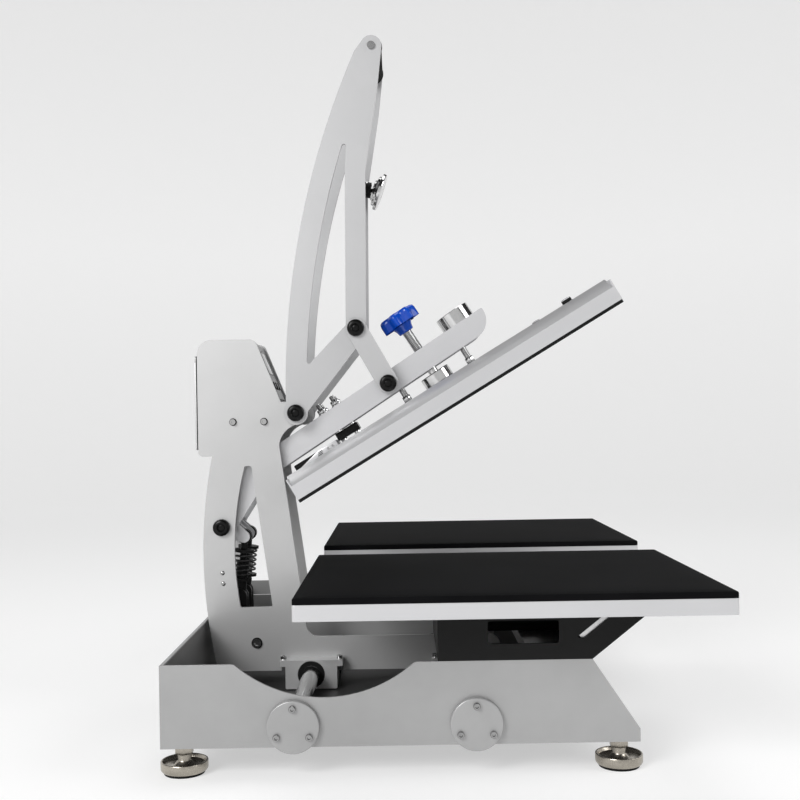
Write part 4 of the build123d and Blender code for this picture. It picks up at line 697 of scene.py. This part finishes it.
class PRESS_OT_handle(bpy.types.Operator):
    """Handle plates, bars, grip and links"""

    bl_idname = "press.handle"
    bl_label = "Handle and links"

    def execute(self, context):
        edge = context.scene.press_sizes.sheet_edge
        for node in ("handle_plate_left", "handle_plate_right", "link_plates"):
            softened(context, node, "lever_paint", edge)
        dressed("handle_bars", "turned_steel")
        self.grip(context)
        softened(context, "armature_mount", "black_paint", edge)
        self.armature(context)
        self.stem_nuts(context)
        return {"FINISHED"}

    def stem_nuts(self, context):
        """A lock nut and a washer on the stem behind the armature."""
        nut_foot = -14.5
        washer = [(0, -18), (9.6, -18), (10, -17.6), (10, -16.4), (9.6, -16), (0, -16)]
        place = pointing(ARMATURE_BALL, ARMATURE_OUT)
        shape = bmesh.new()
        joined(shape, prism(6, 7.6, 6, 0.7), shifted(place, z=nut_foot))
        joined(shape, turned(washer, 32), place)
        add_piece(context, "armature_nuts", shape, ["chrome"], body="handle")

    def grip(self, context):
        """The rubber grip: a collar at each end and fine ribs between them."""
        low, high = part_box("handle_grip")
        centre = Vector(((low.x + high.x) / 2, low.y, (low.z + high.z) / 2))
        length = (high.y - low.y) / MM
        collar, ribs, groove_radius, rib_radius = 5, 26, 14.9, 15.5
        outline = [(6.1, 0), (15.3, 0), (16.2, 0.5), (16.5, 1.3), (16.5, 4.2), (16.1, 4.9)]
        pitch = (length - 2 * collar) / ribs
        for rib in range(ribs):
            foot = collar + rib * pitch
            outline += [(groove_radius, foot + 0.15 * pitch), (rib_radius, foot + 0.35 * pitch),
                        (rib_radius, foot + 0.7 * pitch), (groove_radius, foot + 0.9 * pitch)]
        outline += [(16.1, length - 4.9), (16.5, length - 4.2), (16.5, length - 1.3), (16.2, length - 0.5),
                    (15.3, length), (6.1, length), (6.1, 0)]
        shape = bmesh.new()
        joined(shape, turned(outline, context.scene.press_sizes.turning_steps), facing_side(centre, 1))
        add_piece(context, "handle_grip_shown", shape, ["black_rubber"], nodes=("handle_grip",), smooth=50)

    def armature(self, context):
        """The armature's turned saucer: a rim, a groove and a raised middle."""
        saucer = [(0, 9), (25.6, 9), (27.9, 8.6), (28.5, 7.6), (28.5, 4.2), (27.6, 3.4), (24.4, 3.2),
                  (23.4, 2.4), (22.8, -0.4), (22.0, -1.2), (17.0, -1.4), (16.2, -2.2), (15.6, -4.4),
                  (14.8, -5.0), (10.4, -5.0), (8.6, -4.6), (5.2, -3.0), (4.4, 1.0), (0, 1.0)]
        shape = bmesh.new()
        joined(shape, turned(saucer, context.scene.press_sizes.turning_steps),
               pointing(ARMATURE_BALL, ARMATURE_OUT))
        add_piece(context, "armature_disc_shown", shape, ["chrome"], nodes=("armature_disc",))


class PRESS_OT_arm(bpy.types.Operator):
    """Arm channel, magnet and pins"""

    bl_idname = "press.arm"
    bl_label = "Arm and magnet"

    def execute(self, context):
        edge = context.scene.press_sizes.sheet_edge
        softened(context, "arm_frame", "head_paint", edge)
        self.bolts(context)
        dressed("link_pins", "turned_steel")
        self.magnet(context)
        return {"FINISHED"}

    def bolts(self, context):
        """Washers, nuts and stud ends over the four bolts of the arm."""
        washer_height, nut_top = 1.6, 8
        washer = [(0, 0), (8.2, 0), (8.6, 0.4), (8.6, 1.2), (8.2, washer_height), (0, washer_height)]
        shape = bmesh.new()
        for along in (219, 243):
            for side in (-30, 30):
                foot = shifted(arm_place(along, ARM_TOP), y=side)
                joined(shape, turned(washer, 32), foot)
                joined(shape, prism(6, 7.4, 7.2, 0.6), shifted(foot, z=washer_height))
                joined(shape, threaded(4, 0.5, 1.5, 7.5), shifted(foot, z=nut_top))
        add_piece(context, "arm_bolts", shape, ["chrome"], body="arm")

    def magnet(self, context):
        """The turned holding magnet with its coil groove and centre screw."""
        steps = context.scene.press_sizes.turning_steps
        magnet_along = 469
        pot = [(0, 0), (27, 0), (27.5, 0.6), (27.5, 21.4), (26.9, 22), (21.2, 22), (21, 21.2), (11, 21.2),
               (10.8, 22), (4.2, 22), (3.9, 21.6), (3.9, 17), (0, 17)]
        coil = [(11.1, 20.9), (11.1, 21.5), (20.9, 21.5), (20.9, 20.9)]
        foot = arm_place(magnet_along, ARM_TOP)
        shape = bmesh.new()
        joined(shape, turned(pot, steps), foot)
        joined(shape, turned(coil, steps), foot, 1)
        add_piece(context, "holding_magnet_shown", shape, ["chrome", "deep_black"],
                  nodes=("holding_magnet",))


def arm_place(along, above):
    """A placement on the arm, in the arm's own millimetres, facing up from it."""
    origin = ARM_PIVOT + ARM_ALONG * along * MM + LIFT * above * MM
    return pointing(origin, LIFT)


def head_axes():
    """The head's own along and up directions at rest."""
    tilt = Matrix.Rotation(HEAD_TILT, 3, SIDEWAYS)
    return tilt @ ARM_ALONG, tilt @ LIFT


def head_place(along, sideways, above):
    """A placement on the head, in the head's own millimetres from its swivel, facing up from it."""
    forward, up = head_axes()
    origin = SWIVEL + forward * along * MM + up * above * MM + SIDEWAYS * sideways * MM
    return pointing(origin, up)


class PRESS_OT_knob(bpy.types.Operator):
    """Pressure knob, screw and boss"""

    bl_idname = "press.knob"
    bl_label = "Knob and screw"

    def execute(self, context):
        sizes = context.scene.press_sizes
        self.knob(context, sizes)
        self.screw(context, sizes)
        softened(context, "pressure_boss", "chrome", 0.5 * MM)
        return {"FINISHED"}

    def knob(self, context, sizes):
        """A lobed knob with a dished top and a turned hub."""
        lobes, faces_per_lobe = sizes.knob_lobes, 16
        radius, lobe_height, groove_depth = 28.4, 3.6, 0.9
        rises = ((3.2, 1.0), (10, 1.0), (4.6, 0.965), (2.0, 0.88), (-2.4, 0.55), (-0.6, 0.5))
        hub = [(0, 0), (11.5, 0), (12.4, 1), (13.6, 7), (16.5, 12.4), (0, 12.9)]
        button = [(0, 0), (6.4, 0), (6.4, 0.8), (5.8, 1.2), (0, 1.2)]
        shape = bmesh.new()
        ring = bmesh.ops.create_circle(shape, cap_ends=True, segments=lobes * faces_per_lobe, radius=1.0)
        for vert in ring["verts"]:
            wave = cos(lobes * vert.co.to_2d().angle_signed(Vector((1, 0))))
            vert.co *= (radius + lobe_height * wave - groove_depth * (1 - wave) ** 2 / 4) * MM
        shape.faces.ensure_lookup_table()
        face = shape.faces[0]
        for rise, shrink in rises:
            made = bmesh.ops.extrude_discrete_faces(shape, faces=[face])
            face = made["faces"][0]
            bmesh.ops.translate(shape, vec=(0, 0, rise * MM), verts=face.verts)
            centre = face.calc_center_median()
            for vert in face.verts:
                vert.co.x = centre.x + (vert.co.x - centre.x) * shrink
                vert.co.y = centre.y + (vert.co.y - centre.y) * shrink
        bmesh.ops.remove_doubles(shape, verts=shape.verts, dist=0.001 * MM)
        bmesh.ops.recalc_face_normals(shape, faces=shape.faces)
        target = bmesh.new()
        joined(target, shape, arm_place(SCREW_ALONG, 105))
        joined(target, turned(hub, sizes.turning_steps), arm_place(SCREW_ALONG, 92))
        joined(target, turned(button, sizes.turning_steps), arm_place(SCREW_ALONG, 121.8), 1)
        add_piece(context, "pressure_knob_shown", target, ["blue_plastic", "turned_steel"],
                  nodes=("pressure_knob",), smooth=50)

    def screw(self, context, sizes):
        """The pressure screw with its thread."""
        thread_foot = 57.5
        shank = [(0, 6.2), (7, 6.2), (7.9, 7.2), (7.9, thread_foot), (0, thread_foot)]
        shape = bmesh.new()
        joined(shape, threaded(8, 1.0, sizes.thread_pitch / MM, 34), arm_place(SCREW_ALONG, thread_foot))
        joined(shape, turned(shank, sizes.turning_steps), arm_place(SCREW_ALONG, 0))
        add_piece(context, "pressure_screw_shown", shape, ["chrome"], nodes=("pressure_screw",))


class PRESS_OT_head(bpy.types.Operator):
    """Heated head with its posts, terminal and fittings"""

    bl_idname = "press.head"
    bl_label = "Heated head"

    def execute(self, context):
        softened(context, "heating_plate", "black_coat", 0.6 * MM)
        softened(context, "head_cover", "head_paint", 0.6 * MM)
        dressed("heat_insulation", "blanket")
        self.posts(context)
        self.terminal(context)
        self.plugs(context)
        self.cable_cover(context)
        return {"FINISHED"}

    def cable_cover(self, context):
        """A low sheet cover behind the terminal, its rear end sloping, with slots in both sides drawn as
        near-black strips of painted shade.
        """
        length, width, height, slope = 74, 84, 10, 42
        cover_along, screw_rows = -219.5, (21, 29)
        screw_head = [(0, -0.2), (1.9, -0.2), (1.9, 0.3), (1.3, 0.8), (0, 0.8)]
        shape = block((length, width, height), 0.01, 1)
        for vert in shape.verts:
            if vert.co.z > 0 and vert.co.x < 0:
                vert.co.x += slope * MM
        bmesh.ops.remove_doubles(shape, verts=shape.verts, dist=0.1 * MM)
        bmesh.ops.bevel(shape, geom=shape.edges, offset=0.8 * MM, affect="EDGES", segments=2, profile=0.5,
                        material=-1)
        foot = head_place(cover_along, 0, COVER_TOP)
        cover = bmesh.new()
        joined(cover, shape, shifted(foot, z=height / 2))
        for side in (-1, 1):
            wall = side * width / 2
            for step in range(3):
                # The slots are not cut: three near-black strips on each wall paint the shade inside them.
                joined(cover, block((9 - step, 0.5, 1.2), 0.2, 1),
                       shifted(foot, 6 + step, wall, 3.0 + 2.2 * step), 1)
            for along in screw_rows:
                joined(cover, turned(screw_head, 20), shifted(foot, along, wall, height / 2)
                       @ Matrix.Rotation(-side * pi / 2, 4, "X"), 2)
        boot_size = (46, 74, 9.4)
        joined(cover, block(boot_size, 1.5, 3), shifted(foot, -15.5, 0, 4.8), 3)
        add_piece(context, "cable_cover", cover, ["head_paint", "deep_black", "chrome", "black_rubber"],
                  body="head")

    def posts(self, context):
        """The two guide posts with their nuts."""
        post_spread, washer_height, thread_foot, top_nut_foot = 57, 1.8, -4.5, 32.6
        washer = [(0, 0), (9.6, 0), (10, 0.4), (10, 1.4), (9.6, washer_height), (0, washer_height)]
        shape = bmesh.new()
        for along in (-post_spread, post_spread):
            joined(shape, turned(washer, 32), head_place(along, 0, COVER_TOP))
            joined(shape, prism(6, 7.5, 9.2, 0.7), head_place(along, 0, COVER_TOP + washer_height))
            joined(shape, threaded(5, 0.6, 1.5, 42), head_place(along, 0, thread_foot))
            joined(shape, prism(6, 9.2, 6, 0.7), head_place(along, 0, top_nut_foot))
        add_piece(context, "guide_posts_shown", shape, ["chrome"], nodes=("guide_posts",))

    def terminal(self, context):
        """The heater's terminal block on its pillars, with chrome screws."""
        shape = bmesh.new()
        joined(shape, block((38, 60, TERMINAL_HEIGHT), 1.6),
               head_place(TERMINAL_ALONG, 0, TERMINAL_HEIGHT / 2))
        for x in (-12, 12):
            for y in (-23, 23):
                along = TERMINAL_ALONG + x
                joined(shape, prism(6, 4.5, -COVER_TOP, 0.3), head_place(along, y, COVER_TOP), 1)
                joined(shape, socket_screw(4.0, 3.0), head_place(along, y, TERMINAL_HEIGHT), 1)
        add_piece(context, "heater_terminal_shown", shape, ["black_plastic", "chrome"],
                  nodes=("heater_terminal",))

    def plugs(self, context):
        """Black rubber plugs in the cover's holes."""
        plug = [(0, 6.4), (4.6, 6.4), (6.6, 5.6), (7.3, 4.2), (7.3, 0.5), (8.6, 0.3), (8.8, 0), (0, 0)]
        plug_along, plug_spread = 201, 165
        shape = bmesh.new()
        for side in (-plug_spread, plug_spread):
            joined(shape, turned(plug, 32), head_place(plug_along, side, COVER_TOP))
        add_piece(context, "cover_plugs", shape, ["black_rubber"], body="head")


class PRESS_OT_struts(bpy.types.Operator):
    """Lift struts and springs"""

    bl_idname = "press.struts"
    bl_label = "Lift struts"

    def execute(self, context):
        dressed("strut_tubes", "black_paint")
        dressed("strut_rods", "black_paint")
        self.springs(context)
        return {"FINISHED"}

    def springs(self, context):
        """The coil springs, copied from the frame's mesh into a mesh of their own."""
        shape = bmesh.new()
        shape.from_mesh(NODES["strut_springs"].data)
        bmesh.ops.remove_doubles(shape, verts=shape.verts, dist=0.01 * MM)
        piece = add_piece(context, "strut_springs_shown", shape, ["spring_steel"], nodes=("strut_springs",))
        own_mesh(piece)


class PRESS_OT_stage(bpy.types.Operator):
    """Floor, backdrop, lights and camera"""

    bl_idname = "press.stage"
    bl_label = "Stage"

    def execute(self, context):
        settings = context.scene.press_stage
        self.backdrop(context)
        self.lights(context, settings)
        self.camera(context, settings)
        context.scene.view_settings.view_transform = "Standard"
        return {"FINISHED"}

    def backdrop(self, context):
        """A round floor that curves up into a wall all the way round."""
        floor_radius, sweep, wall_top, glow_strength = 4.2, 1.6, 3.5, 0.5
        shape = bmesh.new()
        points = [(0, 0), (1.0, 0), (2.5, 0), (floor_radius, 0)]
        points += [(floor_radius + sweep * sin(a), sweep * (1 - cos(a)))
                   for a in (radians(9 * step) for step in range(1, 11))]
        points += [(floor_radius + sweep, wall_top)]
        verts = [shape.verts.new((x, 0, z)) for x, z in points]
        edges = [shape.edges.new(pair) for pair in zip(verts, verts[1:])]
        bmesh.ops.spin(shape, geom=verts + edges, cent=(0, 0, 0), axis=(0, 0, 1), angle=2 * pi, steps=96,
                       use_merge=True)
        bmesh.ops.remove_doubles(shape, verts=shape.verts, dist=0.001 * MM)
        bmesh.ops.recalc_face_normals(shape, faces=shape.faces)
        mesh = bpy.data.meshes.new("backdrop")
        shape.to_mesh(mesh)
        shape.free()
        mesh.shade_smooth()
        colours = context.scene.press_colours
        pale = finish("stage_paper", tuple(colours.stage), 0.0, 0.9, cloud=0.0, grain_scale=300,
                      grain_depth=0.01)
        shader = pale.node_tree.nodes["Principled BSDF"]
        shader.inputs["Emission Color"].default_value = (1, 1, 1, 1)
        shader.inputs["Emission Strength"].default_value = glow_strength
        mesh.materials.append(pale)
        backdrop = bpy.data.objects.new("backdrop", mesh)
        context.scene.collection.objects.link(backdrop)

    def lights(self, context, settings):
        """Large soft lights in front, beside and above, and an even pale sky."""
        target = Vector((0, 0, 0.45))
        sky_strength = 0.04
        for name, place, power, size in (
            ("key", Vector((-1.9, -2.9, 2.1)), settings.key_power, 1.5),
            ("fill", Vector((2.9, -1.2, 2.2)), settings.fill_power, 1.6),
            ("top", Vector((0.2, 0.5, 3.4)), settings.top_power, 1.8),
        ):
            data = bpy.data.lights.new(name, "AREA")
            data.energy = power
            data.size = size
            lamp = bpy.data.objects.new(name, data)
            lamp.location = place
            lamp.rotation_euler = (target - place).to_track_quat("-Z", "Y").to_euler()
            context.scene.collection.objects.link(lamp)
        world = context.scene.world or bpy.data.worlds.new("sky")
        context.scene.world = world
        world.use_nodes = True
        sky = world.node_tree.nodes["Background"]
        sky.inputs["Color"].default_value = (1, 1, 1, 1)
        sky.inputs["Strength"].default_value = sky_strength

    def camera(self, context, settings):
        """The photograph's camera: level, square to the side of the press, leaning a little."""
        place = (-36.5 * MM, -1657 * MM, 433 * MM)
        rise, frame_width = 22, 800
        data = bpy.data.cameras.new("photograph")
        data.sensor_width = 36.0
        data.lens = settings.lens
        data.shift_y = rise / frame_width
        data.clip_end = 50
        camera = bpy.data.objects.new("photograph", data)
        camera.location = place
        camera.rotation_euler = (radians(90), settings.roll, 0)
        context.scene.collection.objects.link(camera)
        context.scene.camera = camera


STEPS = (PRESS_OT_stage, PRESS_OT_base, PRESS_OT_feet, PRESS_OT_platens, PRESS_OT_carriage, PRESS_OT_caps,
         PRESS_OT_handle, PRESS_OT_arm, PRESS_OT_knob, PRESS_OT_head, PRESS_OT_struts)


class PRESS_PT_panel(bpy.types.Panel):
    """Lists the steps that build the press"""

    bl_idname = "PRESS_PT_panel"
    bl_label = "Heat press"
    bl_space_type = "VIEW_3D"
    bl_region_type = "UI"
    bl_category = "Heat press"

    def draw(self, context):
        for step in STEPS:
            self.layout.operator(step.bl_idname)
        for group in (context.scene.press_sizes, context.scene.press_colours, context.scene.press_stage):
            for name in group.__annotations__:
                self.layout.prop(group, name)


GROUPS = (PressSizes, PressColours, PressStage)


def register():
    """Registers the classes and hangs the settings on the scene."""
    for group in (*GROUPS, *STEPS, PRESS_PT_panel):
        bpy.utils.register_class(group)
    bpy.types.Scene.press_sizes = PointerProperty(type=PressSizes)
    bpy.types.Scene.press_colours = PointerProperty(type=PressColours)
    bpy.types.Scene.press_stage = PointerProperty(type=PressStage)


def unregister():
    """Takes the settings and the classes away again."""
    for name in ("press_sizes", "press_colours", "press_stage"):
        delattr(bpy.types.Scene, name)
    for group in reversed((*GROUPS, *STEPS, PRESS_PT_panel)):
        bpy.utils.unregister_class(group)


def main():
    """Registers the add-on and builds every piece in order."""
    register()
    make_finishes(bpy.context.scene.press_colours)
    for step in STEPS:
        group, name = step.bl_idname.split(".")
        getattr(getattr(bpy.ops, group), name)()


if __name__ == "__main__":
    main()
